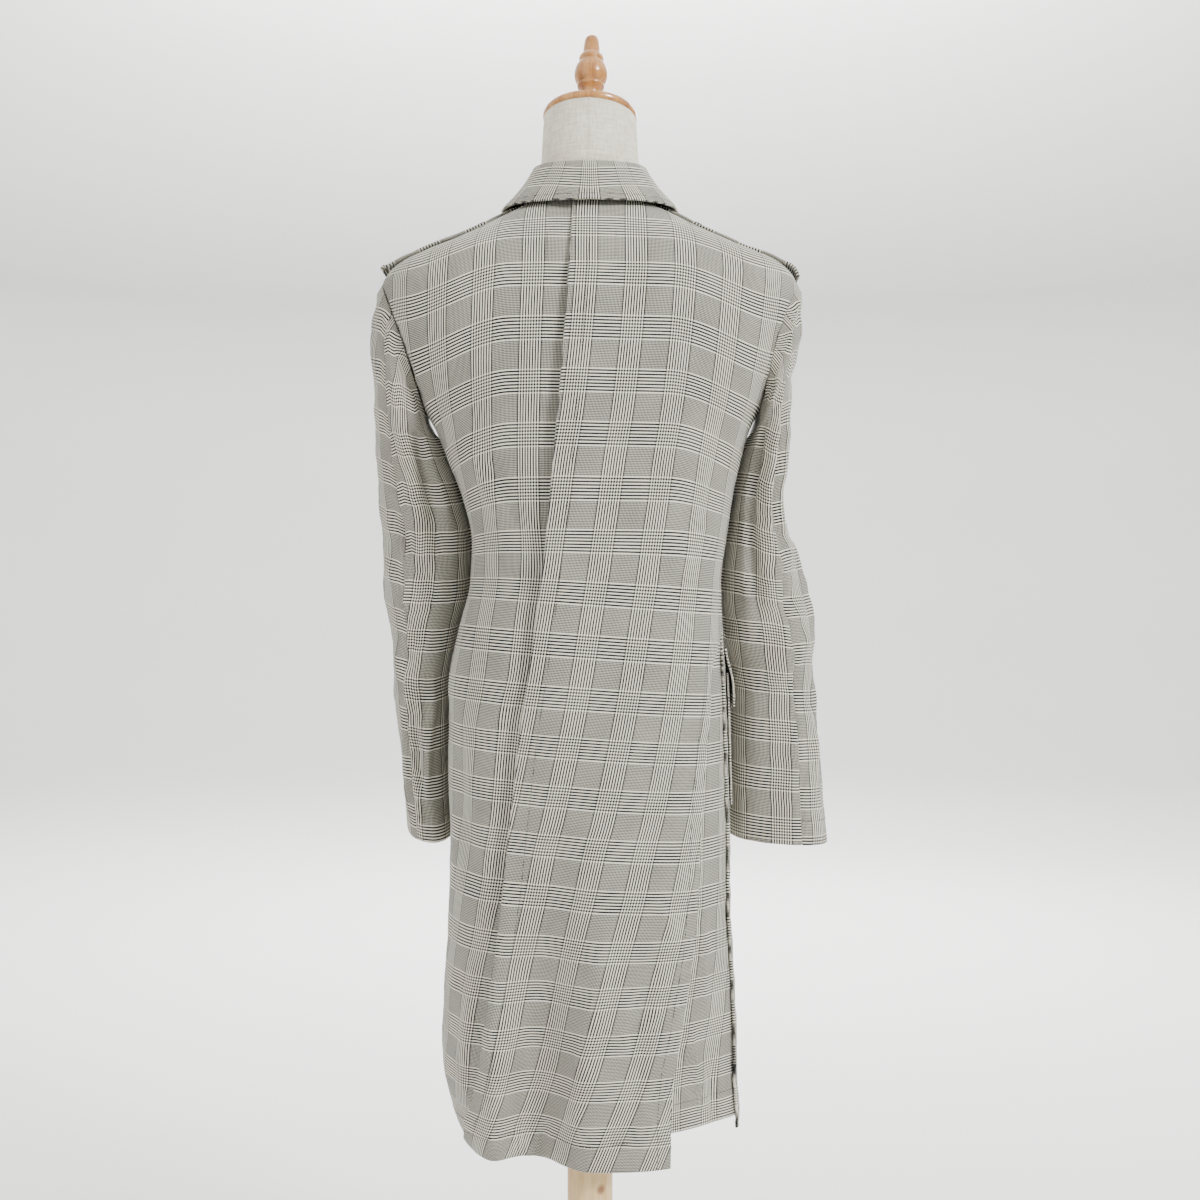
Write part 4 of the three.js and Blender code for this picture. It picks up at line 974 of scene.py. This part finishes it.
def buttonhole(name, grid, level):
    """A worked buttonhole lying across the front: close threads round a slot, a bar at its inner end."""
    row = int(np.argmin(np.abs(grid[:, 0, 2] - level)))
    x = grid[row, :, 0]
    normal = grid_normals(grid)[row]

    def bar(across, low, high, facing):
        place, out = point_on(across, x, grid[row]), point_on(facing, x, normal)
        return place + np.array([0, 0, low]), place + np.array([0, 0, high]), out

    bars = []
    for k in range(int(BUTTONHOLE_LENGTH / BUTTONHOLE_PITCH)):
        across = BUTTONHOLE_START + BUTTONHOLE_PITCH * k
        for side in (-1, 1):
            bars.append(bar(across, side * BUTTONHOLE_SLOT, side * BUTTONHOLE_REACH, across))
    end = BUTTONHOLE_START + BUTTONHOLE_LENGTH
    for k in range(3):
        bars.append(bar(end + BUTTONHOLE_BAR_PITCH * k, -BUTTONHOLE_REACH, BUTTONHOLE_REACH, end))
    threads(name, bars, BUTTONHOLE_THREAD, THREAD)


FRONT_CREASES = [
    (-20, 700, -60, 470, 4, 18), (60, 720, 40, 480, -4, 18), (-70, 1160, -40, 1060, 3, 16),
    (75, 1170, 45, 1070, 3, 16), (-120, 1190, -90, 1100, -3, 14), (125, 1190, 95, 1100, -3, 14),
    (-110, 640, -120, 460, 4, 16), (112, 660, 120, 470, 4, 16), (30, 1000, 90, 960, 2, 14),
    (-30, 990, -90, 955, 2, 14),
]


def front_panel(right):
    side = 1 if right else -1
    z, edge = panel_rows(False)
    neck = np.maximum(z, FRONT_NECK_Z)
    centre = np.where(z > FRONT_NECK_Z, side * front_neck_x(neck), -side * FRONT_OVERLAP)
    inside = angle_at_x(side * centre, z)
    if right:
        slit = 180 - angle_from_side(SLIT_DEPTH, body_back(z))
        edge = mix(slit, edge, vent_closed(z))
    from_centre = mix(inside[:, None], edge[:, None], edge_shares(count=40))
    grid = body_point(side * (180 - from_centre), z[:, None])
    if right:
        grid = grid[:, ::-1]
    else:
        past_lap = (grid[..., 0] + FRONT_OVERLAP + 2) / FRONT_LAP_REACH
        grid[..., 1] -= FRONT_LAP_DEPTH * smooth(1 + past_lap)
    x, along = grid[..., 0], arc_lengths(grid, 1)
    middle = np.array([np.interp(0, row_x[::-1], row_s[::-1]) for row_x, row_s in zip(x, along)])
    u = along - middle[:, None] + CHECK_ACROSS / 2
    v = weft_level(grid[..., 2] + FRONT_DROOP * armhole_droop(x, grid[..., 2])) * CHECK_ALONG
    uv = np.stack([u * MM, v * MM], axis=-1)
    grid = finish_panel(grid, FRONT_CREASES, 31.0 if right else 43.0, right, not right)
    edges = (VENT_TURNING, 0) if right else (0, 0)
    name = "front_right" if right else "front_left"
    obj = cloth_piece(name + "_panel", grid, uv, turned_wall(grid, HEM_TURNING, *edges), CHECK)
    dress(obj, [name])
    stitch_row(f"hem_stitches_{name}", *inside_line(grid, "low", HEM_TURNING))
    if right:
        line, out = inside_line(grid, "right", EDGE_STITCH)
        level = line[:, 2]
        keep = (level > HEM_Z + EDGE_STITCH) & (level < FRONT_NECK_Z - STITCH_END_GAP)
        stitch_row("front_edge_stitches", line, out, keep)
        for index, level in enumerate(BUTTON_LEVELS):
            buttonhole(f"buttonhole_{index + 1}", grid, level)


# Sleeves


def armhole_point(turn, side):
    """A point of the armhole's ring: 0 the underarm, 90 the back, 180 the shoulder tip, 270 the front."""
    turn = np.mod(turn, 360)
    back = turn <= 180
    z_back, angle_back = armhole_row(turn, True)
    z_front, angle_front = armhole_row(360 - turn, False)
    z = np.where(back, z_back, z_front)
    point = body_point(side * np.where(back, angle_back, 180 - angle_front), z)
    point[..., 0] += side * ARMHOLE_OFFSET
    return point


def sleeve_grid(table, side, turns, drop):
    """Points of a sleeve from the cuff up to the armhole: rows up, one column for each turn."""
    keyed = [(i, *row) for i, row in enumerate(table)]
    last = len(table) - 1
    at = np.concatenate([np.linspace(last, 0, SLEEVE_ROWS), np.linspace(0, -1, SLEEVE_ROWS_UP)[1:]])
    ring = np.maximum(at, 0)[:, None]
    inner_x, inner_z, outer_x, outer_z, middle_y, half_depth = (curve(keyed, k)(ring) for k in range(1, 7))
    exponent = 2 / SLEEVE_ROUNDNESS
    cosine = power(np.cos(np.radians(turns)), exponent)[None, :]
    sine = power(np.sin(np.radians(turns)), exponent)[None, :]
    out = (1 - cosine) / 2
    share = drop * smooth((ring - last + 3) / 3)
    z = mix(inner_z, outer_z, out) - share * sine
    grid = points(side * mix(inner_x, outer_x, out), middle_y - half_depth * sine, z)
    top = armhole_point(turns, side)[None]
    return mix(top, grid, (1 + np.minimum(at, 0))[:, None, None]), at


SLEEVE_CREASE = 1.35
SLEEVE_ROWS = 104
SLEEVE_ROWS_UP = 10
SLEEVE_COLUMN = 5.2
# Rings where the creases begin and end, and how far they take to fade there
CREASE_START, CREASE_START_REACH = -1, 2.2
CREASE_END, CREASE_END_REACH = 11.2, 1.2
CREASE_KEPT = 0.15
SLEEVE_SEAMS = {
    "upper": (SLEEVE_BACK_SEAM, SLEEVE_FRONT_SEAM), "under": (SLEEVE_FRONT_SEAM, SLEEVE_BACK_SEAM + 360),
}
SLEEVE_CHECK_TURN = {"upper": 150, "under": 400}
SLEEVE_CHECK_START = (6, 20)
# One ring counts as this many degrees where a crease runs aslant
RING_STEP = 30
# Creases of a sleeve: turn and ring at the start and at the end, depth, half width in degrees
LEFT_SLEEVE_CREASES = [
    (60, 3.0, 78, 6.4, -7, 18), (96, 1.2, 88, 5.4, 3, 14), (50, 5.4, 120, 6.6, 4, 14),
    (128, 5.2, 74, 7.4, -4, 13), (150, 6.2, 96, 7.8, 3, 12), (75, 7.6, 128, 8.8, -3, 13),
    (140, 8.2, 80, 9.6, 3.5, 14), (60, 8.8, 92, 10.6, 4, 13), (104, 8.6, 84, 11.2, -4, 12),
    (160, 0.6, 140, 2.4, 3, 16), (118, 9.4, 140, 10.9, 3, 13), (200, 5.4, 290, 6.8, -4, 16),
    (300, 5.0, 230, 6.6, 4, 15), (250, 8.0, 300, 9.6, 3, 15), (2, 1.8, 16, 4.8, 4, 26),
]
RIGHT_SLEEVE_CREASES = [
    (62, 2.6, 80, 7.6, -8, 15), (96, 2.2, 104, 6.4, 6, 14), (120, 2.8, 124, 6.6, -6, 12),
    (146, 2.4, 138, 5.8, 4, 13), (60, 7.2, 140, 6.2, 6, 13), (70, 8.0, 150, 7.0, -5, 12),
    (80, 8.8, 150, 7.9, 4, 11), (160, 6.0, 180, 8.2, 5, 14), (150, 8.6, 170, 10.6, -4, 12),
    (120, 9.2, 96, 10.8, 3, 14), (172, 8.9, 140, 10.2, 3.5, 10), (130, 0.4, 160, 2.4, 3, 14),
    (290, 5.4, 220, 6.8, -4, 16), (230, 5.2, 300, 6.8, 4, 15), (300, 8.4, 240, 9.8, 3, 15),
    (2, 1.8, 12, 5.0, 4, 24),
]


def sleeve_piece(name, table, side, part, drop, lines, seed):
    """One piece of a sleeve. Its columns run from one seam to the other, in turns round the arm."""
    start, end = SLEEVE_SEAMS[part]
    span = end - start - 2 * SLEEVE_SEAM_TURN
    turns = start + SLEEVE_SEAM_TURN + span * edge_shares(int(round(span / SLEEVE_COLUMN)))
    grid, at = sleeve_grid(table, side, turns, drop)
    twice = [
        (a0 + whole, b0 * RING_STEP, a1 + whole, b1 * RING_STEP, depth, half_width)
        for whole in (0, 360)
        for a0, b0, a1, b1, depth, half_width in lines
    ]
    relief = creases(twice, turns[None, :], at[:, None] * RING_STEP)
    keep = smooth((at - CREASE_START) / CREASE_START_REACH) * smooth((CREASE_END - at) / CREASE_END_REACH)
    relief = relief * SLEEVE_CREASE + crinkle(grid, 26, 2.0, seed)
    relief = relief * (CREASE_KEPT + (1 - CREASE_KEPT) * keep[:, None]) + crinkle(grid, 11, 0.8, seed + 3)
    grid = grid + side * grid_normals(grid) * relief[..., None]
    along = arc_lengths(grid, 1)
    reference = int(np.argmin(np.abs(turns - SLEEVE_CHECK_TURN[part])))
    u = along - along[:, reference : reference + 1] + SLEEVE_CHECK_START[0]
    up = arc_lengths(grid, 0)
    v = up - up.mean(axis=1).max() + SLEEVE_CHECK_START[1]
    uv = np.stack([u * MM, v * MM], axis=-1)
    if side < 0:
        grid, uv = grid[:, ::-1], uv[:, ::-1] * np.array([-1, 1])
    grid = roll_edges(grid, True, True)
    stitch_row(name.replace("piece", "cuff_stitches"), *inside_line(grid, "low", CUFF_TURNING))
    return cloth_piece(name, grid, uv, turned_wall(grid, CUFF_TURNING), CHECK)


def sleeves():
    for word, side, table, drop, lines, seed in (
        ("left", -1, LEFT_SLEEVE, LEFT_CUFF_DROP, LEFT_SLEEVE_CREASES, 5.5),
        ("right", 1, RIGHT_SLEEVE, RIGHT_CUFF_DROP, RIGHT_SLEEVE_CREASES, 9.5),
    ):
        for part in ("upper", "under"):
            node = f"sleeve_{word}_{part}"
            obj = sleeve_piece(node + "_piece", table, side, part, drop, lines, seed)
            dress(obj, [node])


# Collar, straps, pockets


def front_depth(x, z):
    share = np.minimum(1, np.abs(x) / body_right(z)) ** BODY_ROUNDNESS
    return body_front(z) * (1 - share) ** (1 / BODY_ROUNDNESS)


def neck_seam(angle):
    """Points of the neck seam under the collar's stand, at angles from the centre back."""
    sine, cosine = np.sin(np.radians(angle)), np.cos(np.radians(angle))
    back = body_point(angle, BACK_NECK_Z + 0 * angle, -0.2)
    back[:, 2] = mix(NECK_RIDGE_Z + 2, BACK_NECK_Z, cosine**2) + 0.3
    turn = np.linspace(0, 90, 200)
    x = (NECK_HALF_WIDTH - 0.5) * np.cos(np.radians(turn))
    z = NECK_RIDGE_Z - (NECK_RIDGE_Z - FRONT_NECK_Z - 0.6) * np.sin(np.radians(turn))
    y = front_depth(x, z)
    wanted = front_depth(0, FRONT_NECK_Z) * -cosine
    front_x = np.interp(wanted, y, x) * np.sign(sine)
    front_z = np.interp(wanted, y, z) + 0.3 + 2 * (1 + cosine)
    front = points(front_x, front_depth(front_x, front_z), front_z)
    return np.where((cosine >= 0)[:, None], back, front)


def collar():
    reach = 180 - COLLAR_FRONT_GAP
    turns = np.linspace(-reach, reach, 180)
    keyed = [(i, *row) for i, row in enumerate(COLLAR_RINGS)]
    at = np.linspace(0, len(COLLAR_RINGS) - 1, 64)
    sine, cosine = np.sin(np.radians(turns))[None, :], np.cos(np.radians(turns))[None, :]
    columns = (curve(keyed, k)(at)[:, None] for k in range(1, 8))
    side, back, front, side_z, back_z, front_z, over = columns
    depth = np.where(cosine > 0, back, front)
    end_z = np.where(cosine > 0, back_z, front_z)
    x, z = side * sine, mix(side_z, end_z, cosine**2)
    y = -depth * cosine
    clear = mix(y, np.maximum(y, front_depth(x, z) + COLLAR_CLEAR), smooth(over * 1.2))
    y = np.where(cosine < 0, clear, y)
    grid = points(x, y, z)
    seam = neck_seam(turns)[None]
    rise = np.linspace(0, 1, 10)[:-1, None, None]
    grid = np.concatenate([mix(seam, grid[:1], rise), grid])[:, ::-1]
    along = arc_lengths(grid[[-1]], 1)
    up = arc_lengths(grid, 0)
    turned_at = np.linspace(-1, len(COLLAR_RINGS) - 1, len(grid))
    relief = crinkle(grid, 22, 0.7, 61.0) + crinkle(grid, 9, 0.3, 66.0)
    relief *= smooth((turned_at - 2.6) / 1.4)[:, None]
    u = along - along[:, -1:] / 2 + 0 * up
    v = up.max() - up + CHECK_ALONG / 2
    uv = np.stack([u * MM, v * MM], axis=-1)
    grid = grid + grid_normals(grid) * relief[..., None]
    wall = mix(WALL, COLLAR_EDGE_WALL, smooth((COLLAR_TURNING - (up[-1:] - up)) / TURN_EASE + 0.5))
    obj = cloth_piece("turned_collar", grid, uv, wall, CHECK)
    dress(obj, ["collar"])
    stitch_row("collar_edge_stitches", *inside_line(grid, "high", EDGE_STITCH))


# Height of the shoulder at each x, up to its tip, and a point below the tip
ridge_z = curve(sorted((row[1], row[0]) for row in BODY_SECTIONS if row[0] >= SHOULDER_LOW_Z), 1)


def shoulder_point(x, y, side, lift):
    crest = ridge_z(x)
    depth = np.where(y < 0, body_back(crest), body_front(crest))
    fall = 1 - (1 - np.minimum(1, np.abs(y) / depth) ** BODY_ROUNDNESS) ** (1 / BODY_ROUNDNESS)
    return points(side * x, y, crest + lift - fall * x * STRAP_FALL)


def shoulder_strap(side):
    word = "left" if side < 0 else "right"
    lift = strap_lift[side]
    first, last = STRAP_LIFT[side][0][0], STRAP_LIFT[side][-1][0]
    x = np.linspace(first, last, 60)[:, None]
    across = np.linspace(-1, 1, 20)[None, :]
    taper = mix(STRAP_TAPER, 1, smooth((x - first) / STRAP_TAPER_REACH))
    point = mix(STRAP_POINT, 1, smooth((x - first) / STRAP_POINT_REACH) ** 0.5)
    y = across * STRAP_HALF_WIDTH * taper * point
    grid = shoulder_point(x, y, side, lift(x) + STRAP_PUFF)
    if side > 0:
        grid = grid[:, ::-1]
    relief = crinkle(grid, 18, 1.0, 71.0 + side) * smooth((x - first) / 30) * smooth((last - x) / 20)
    grid = grid + grid_normals(grid) * relief[..., None]
    along = arc_lengths(grid, 1)
    u = (along if side < 0 else along[:, -1:] - along) + STRAP_CHECK_START
    uv = np.stack([u * MM, arc_lengths(grid, 0) * MM], axis=-1)
    node = f"shoulder_strap_{word}"
    obj = cloth_piece(node + "_piece", grid, uv, STRAP_WALL, CHECK)
    dress(obj, [node])
    for edge in ("left", "right"):
        stitch_row(f"strap_{word}_{edge}_stitches", *inside_line(grid, edge, STRAP_STITCH))


def side_patch(name, node, side, low, high, back, front, lift_at, seed, wall):
    s = np.linspace(0, 1, 44)[None, :]
    t = np.linspace(0, 1, 48)[:, None]
    grid = body_point(side * mix(back, front, s), mix(low, high, t), lift_at(s, t))
    if side < 0:
        grid = grid[:, ::-1]
    relief = crinkle(grid, 20, 0.9, seed) * (0.3 + 0.7 * np.sin(math.pi * s) * np.sin(math.pi * t))
    grid = grid + grid_normals(grid) * relief[..., None]
    along = arc_lengths(grid, 1)
    v = weft_level(grid[..., 2] + POCKET_CHECK_DROP) * CHECK_ALONG
    uv = np.stack([(along + POCKET_CHECK_START) * MM, v * MM], axis=-1)
    obj = cloth_piece(name, grid, uv, wall, CHECK)
    dress(obj, [node])
    for edge in ("left", "right", "low"):
        stitch_row(f"{name}_{edge}_stitches", *inside_line(grid, edge, STRAP_STITCH))


# side, angle of the back and front edge, swell of the bag, lift of the flap's edge
POCKETS = {"right": (1, 84, 140, 3.5, 8.8), "left": (-1, 112, 166, 0.6, 6.6)}


def pockets():
    for word, (side, back, front, swell, flap_lift) in POCKETS.items():
        side_patch(
            f"patch_pocket_{word}", f"pocket_{word}", side, POCKET_BOTTOM_Z, POCKET_TOP_Z, back, front,
            lambda s, t: POCKET_LIFT + swell * np.sin(math.pi * s) * np.sin(math.pi * t),
            83.0 + side, POCKET_WALL,
        )
        side_patch(
            f"plain_flap_{word}", f"pocket_flap_{word}", side, FLAP_BOTTOM_Z, FLAP_TOP_Z,
            back - FLAP_MARGIN, front + FLAP_MARGIN,
            lambda s, t: mix(flap_lift, FLAP_TOP_LIFT, smooth(t * 1.6 - 0.6)), 93.0 + side, FLAP_WALL,
        )


# Dress form


def dress_form():
    """The linen-covered torso and neck, closed at both ends, with the cover's seam down its back."""
    half, back, front = (curve(FORM_SECTIONS, k) for k in (1, 2, 3))
    even = 360 * np.arange(FORM_SIDES) / FORM_SIDES
    degrees = np.sort(np.concatenate([even, LINEN_SEAM_DEGREES, 360 - LINEN_SEAM_DEGREES]))
    turn = np.radians(degrees)[None, :]
    off_seam = np.minimum(degrees, 360 - degrees)[None, :]
    seam = sum(height * smooth(1 - off_seam / reach) for height, reach in LINEN_SEAM)
    torso, neck = np.linspace(FORM_LOW_Z, FORM_CHEST_Z, 70), np.linspace(FORM_CHEST_Z, NECK_BEND_Z, 60)
    z = np.concatenate([torso[:-1], neck])[:, None]
    exponent = 2 / mix(FORM_ROUNDNESS, 2, smooth((z - FORM_ROUND_Z) / FORM_ROUND_REACH))
    sine, cosine = power(np.sin(turn), exponent), power(np.cos(turn), exponent)
    x = half(z) * sine
    y = -np.where(cosine > 0, back(z), front(z)) * cosine - seam
    rows = [points(x, y, z)]
    x, y = x[-1:], y[-1:]
    top = NECK_TOP_Z - x * math.tan(math.radians(CAP_ROLL)) - y * math.tan(math.radians(CAP_TILT))
    for share in (0.25, 0.5, 0.75, 1.0):
        narrow = mix(1, NECK_TOP_HALF / FORM_SECTIONS[-1][1], share)
        rows.append(points(x * narrow, y * narrow, mix(NECK_BEND_Z, top, share)))
    grid = np.concatenate(rows)
    rings, count = grid.shape[:2]
    vertices = [tuple(p * MM) for p in grid.reshape(-1, 3)]
    faces = []
    for j in range(rings - 1):
        for i in range(count):
            a, b = j * count + i, j * count + (i + 1) % count
            faces.append((a, b, b + count, a + count))
    faces.append(tuple(range(count))[::-1])
    faces.append(tuple((rings - 1) * count + i for i in range(count)))
    mesh = bpy.data.meshes.new("linen_form")
    mesh.from_pydata(vertices, [], faces)
    mesh.materials.append(LINEN)
    obj = place_object("linen_covered_form", mesh)
    mesh.shade_smooth()
    mesh.set_sharp_from_angle(angle=math.radians(50))
    dress(obj, ["dress_form"])


# Turned wood


def turned_piece(name, profile, sides, material, node, place=(0, 0, 0), turn=(0, 0, 0)):
    """A piece turned on a lathe: a disc extruded up its profile and scaled at each level."""
    clear_selection()
    radius, level = profile[0]
    bpy.ops.mesh.primitive_circle_add(
        vertices=sides, radius=radius * MM, fill_type="NGON", location=(0, 0, level * MM)
    )
    obj = bpy.context.object
    obj.name = name
    bpy.ops.object.transform_apply(location=True, rotation=True, scale=True)
    bpy.ops.object.mode_set(mode="EDIT")
    bpy.ops.mesh.select_all(action="SELECT")
    for next_radius, next_level in profile[1:]:
        rise = (0, 0, (next_level - level) * MM)
        bpy.ops.mesh.extrude_region_move(TRANSFORM_OT_translate={"value": rise})
        share = next_radius / radius
        bpy.ops.transform.resize(value=(share, share, 1), center_override=(0, 0, next_level * MM))
        radius, level = next_radius, next_level
    bpy.ops.mesh.select_all(action="SELECT")
    bpy.ops.mesh.remove_doubles(threshold=1e-6)
    bpy.ops.mesh.normals_make_consistent(inside=False)
    bpy.ops.object.mode_set(mode="OBJECT")
    obj.rotation_euler = turn
    obj.location = Vector(place) * MM
    bpy.ops.object.transform_apply(location=True, rotation=True, scale=True)
    obj.data.materials.append(material)
    bpy.ops.object.shade_smooth_by_angle(angle=math.radians(42))
    return dress(obj, [node])


def rounded_profile(profile, steps=3):
    """Turns each corner of a profile into a small soft curve, as a turner's sandpaper would."""
    line = [profile[0]]
    for (r0, z0), (r1, z1), (r2, z2) in zip(profile, profile[1:], profile[2:]):
        first = (mix(r1, r0, 0.25), mix(z1, z0, 0.25))
        second = (mix(r1, r2, 0.25), mix(z1, z2, 0.25))
        for k in range(steps):
            t = k / (steps - 1)
            a = (mix(first[0], r1, t), mix(first[1], z1, t))
            b = (mix(r1, second[0], t), mix(z1, second[1], t))
            line.append((mix(a[0], b[0], t), mix(a[1], b[1], t)))
    return line + [profile[-1]]


def stand():
    tilt = (-math.radians(CAP_TILT), math.radians(CAP_ROLL), 0)
    seat = (0, 0, NECK_TOP_Z + SEAT_GAP)
    cap, finial, base = (rounded_profile(rows) for rows in (CAP_PROFILE, FINIAL_PROFILE, BASE_PROFILE))
    turned_piece("wooden_neck_cap", cap, 96, CAP_WOOD, "neck_cap", seat, tilt)
    turned_piece("turned_finial", finial, 72, CAP_WOOD, "finial", seat, tilt)
    turned_piece("round_base", base, 128, BASE_WOOD, "base")
    foot = BASE_HEIGHT + SEAT_GAP
    pole = [(POLE_RADIUS, level) for level in (foot, foot + 150, foot + 350, FORM_LOW_Z - SEAT_GAP)]
    turned_piece("round_pine_pole", pole, 96, POLE_WOOD, "pole")


def button(name, node, radius, thickness, place, turn):
    """A four-hole button with a raised rim: a disc extruded and inset, its holes cut through."""
    profile = rounded_profile([(radius * across, thickness * up) for across, up in BUTTON_PROFILE])
    obj = turned_piece(name, profile, 40, BUTTON, node, place, turn)
    spread, face = radius * HOLE_SPREAD, thickness * BUTTON_PROFILE[-1][1]
    seat = Matrix.Translation(Vector(place) * MM) @ Euler(turn).to_matrix().to_4x4()
    drills = []
    for x in (-1, 1):
        for y in (-1, 1):
            bpy.ops.mesh.primitive_cylinder_add(
                vertices=12,
                radius=radius * HOLE_RADIUS * MM,
                depth=thickness * HOLE_DEPTH * MM,
                location=seat @ (Vector((x * spread, y * spread, thickness)) * MM),
                rotation=turn,
            )
            drills.append(bpy.context.object)
    clear_selection()
    for drill in drills:
        drill.select_set(True)
    bpy.context.view_layer.objects.active = drills[0]
    bpy.ops.object.join()
    drill = bpy.context.object
    clear_selection()
    obj.select_set(True)
    bpy.context.view_layer.objects.active = obj
    bore = obj.modifiers.new("thread_holes", "BOOLEAN")
    bore.operation = "DIFFERENCE"
    bore.object = drill
    bpy.ops.object.modifier_apply(modifier=bore.name)
    bpy.data.objects.remove(drill)
    out = np.array(seat.to_3x3() @ Vector((0, 0, 1)))
    bars = []
    for y in (-1, 1):
        for beside in (-0.3, 0.3):
            level = (y * spread + beside, face + 0.1)
            ends = [np.array(seat @ (Vector((x * spread, *level)) * MM) / MM) for x in (-1, 1)]
            bars.append((*ends, out))
    threads(name + "_thread", bars, BUTTON_THREAD, THREAD)


def buttons():
    for index, z in enumerate(BUTTON_LEVELS):
        seat, above = body_point(180.0, float(z)), body_point(180.0, float(z + LEAN_STEP))
        lean = math.atan2(seat[1] - above[1], LEAN_STEP)
        button(
            f"front_coat_button_{index + 1}", f"front_button_{index + 1}", BUTTON_RADIUS, BUTTON_THICKNESS,
            (0, seat[1] + FRONT_BUTTON_GAP, z), (-math.pi / 2 + lean, 0, 0),
        )
    for word, side in (("left", -1), ("right", 1)):
        lift, ahead_x = strap_lift[side], STRAP_BUTTON_X + LEAN_STEP
        seat = shoulder_point(STRAP_BUTTON_X, 0.0, side, lift(STRAP_BUTTON_X))
        slope = math.atan2(seat[2] - shoulder_point(ahead_x, 0.0, side, lift(ahead_x))[2], LEAN_STEP)
        button(
            f"strap_end_button_{word}", f"strap_button_{word}", STRAP_BUTTON_RADIUS, STRAP_BUTTON_THICKNESS,
            (seat[0], seat[1], seat[2] + STRAP_PUFF + STRAP_BUTTON_GAP), (0, side * slope, 0),
        )


# Studio, in metres: reach and rise of each step of the floor's rim; place, aim, size and watts of a lamp
FLOOR_RADIUS = 7
FLOOR_RIM = ((1.12, 0.15), (1.1, 0.5), (1.06, 1.0), (1.02, 1.6))
LAMPS = {
    "key_lamp": ((2.3, -2.1, 3.3), (0, 0, 1), 0.6, 380),
    "fill_lamp": ((-2.4, -2.6, 1.8), (0, 0, 1), 2.4, 24),
    "front_lamp": ((0.6, 3.0, 2.6), (0, 0, 1), 2.4, 130),
    "backdrop_lamp": ((0, 3.2, 4.2), (0, 7.5, 1), 3.0, 2200),
}
CAMERA_PLACE = (0.0108, -1.528, 1.0)
CAMERA_LENS, CAMERA_SENSOR = 42.45, 36


def studio():
    """Pale floor that curves up all round, soft lamps and the camera at the photograph's place."""
    clear_selection()
    bpy.ops.mesh.primitive_circle_add(vertices=96, radius=FLOOR_RADIUS, fill_type="NGON")
    floor = bpy.context.object
    floor.name = "studio_floor"
    bpy.ops.object.mode_set(mode="EDIT")
    bpy.ops.mesh.select_all(action="SELECT")
    for share, rise in FLOOR_RIM:
        bpy.ops.mesh.extrude_region_move(TRANSFORM_OT_translate={"value": (0, 0, rise)})
        bpy.ops.transform.resize(value=(share, share, 1))
    bpy.ops.mesh.select_all(action="DESELECT")
    bpy.ops.object.mode_set(mode="OBJECT")
    floor.data.shade_smooth()
    material, shader = new_material("pale_matt_studio_floor")
    # Painted board: matt, almost white, its tone drifting over metres
    mottle = add(material, "ShaderNodeTexNoise", {"Scale": 0.6, "Detail": 2.0}).outputs[0]
    tone = add(
        material, "ShaderNodeMix", {0: mottle, 6: linear("F7F7F6"), 7: linear("FBFBFA")}, data_type="RGBA"
    ).outputs[2]
    set_inputs(shader, {"Base Color": tone, "Roughness": 1.0})
    floor.data.materials.append(material)
    world = bpy.data.worlds.new("soft_white_studio")
    bpy.context.scene.world = world
    world.use_nodes = True
    set_inputs(world.node_tree.nodes["Background"], {"Color": linear("FFFFFF"), "Strength": 0.7})
    for name, (place, aim, size, watts) in LAMPS.items():
        lamp = bpy.data.lights.new(name, "AREA")
        lamp.size = size
        lamp.energy = watts
        obj = place_object(name, lamp)
        obj.location = place
        obj.rotation_euler = (Vector(aim) - Vector(place)).to_track_quat("-Z", "Y").to_euler()
    camera = bpy.data.cameras.new("camera")
    camera.sensor_width = CAMERA_SENSOR
    camera.lens = CAMERA_LENS
    eye = place_object("camera", camera)
    eye.location = CAMERA_PLACE
    eye.rotation_euler = (math.radians(90), 0, 0)
    bpy.context.scene.camera = eye


studio()
stand()
dress_form()
back_left()
back_right()
vent_underlay()
front_panel(False)
front_panel(True)
collar()
sleeves()
shoulder_strap(-1)
shoulder_strap(1)
pockets()
buttons()
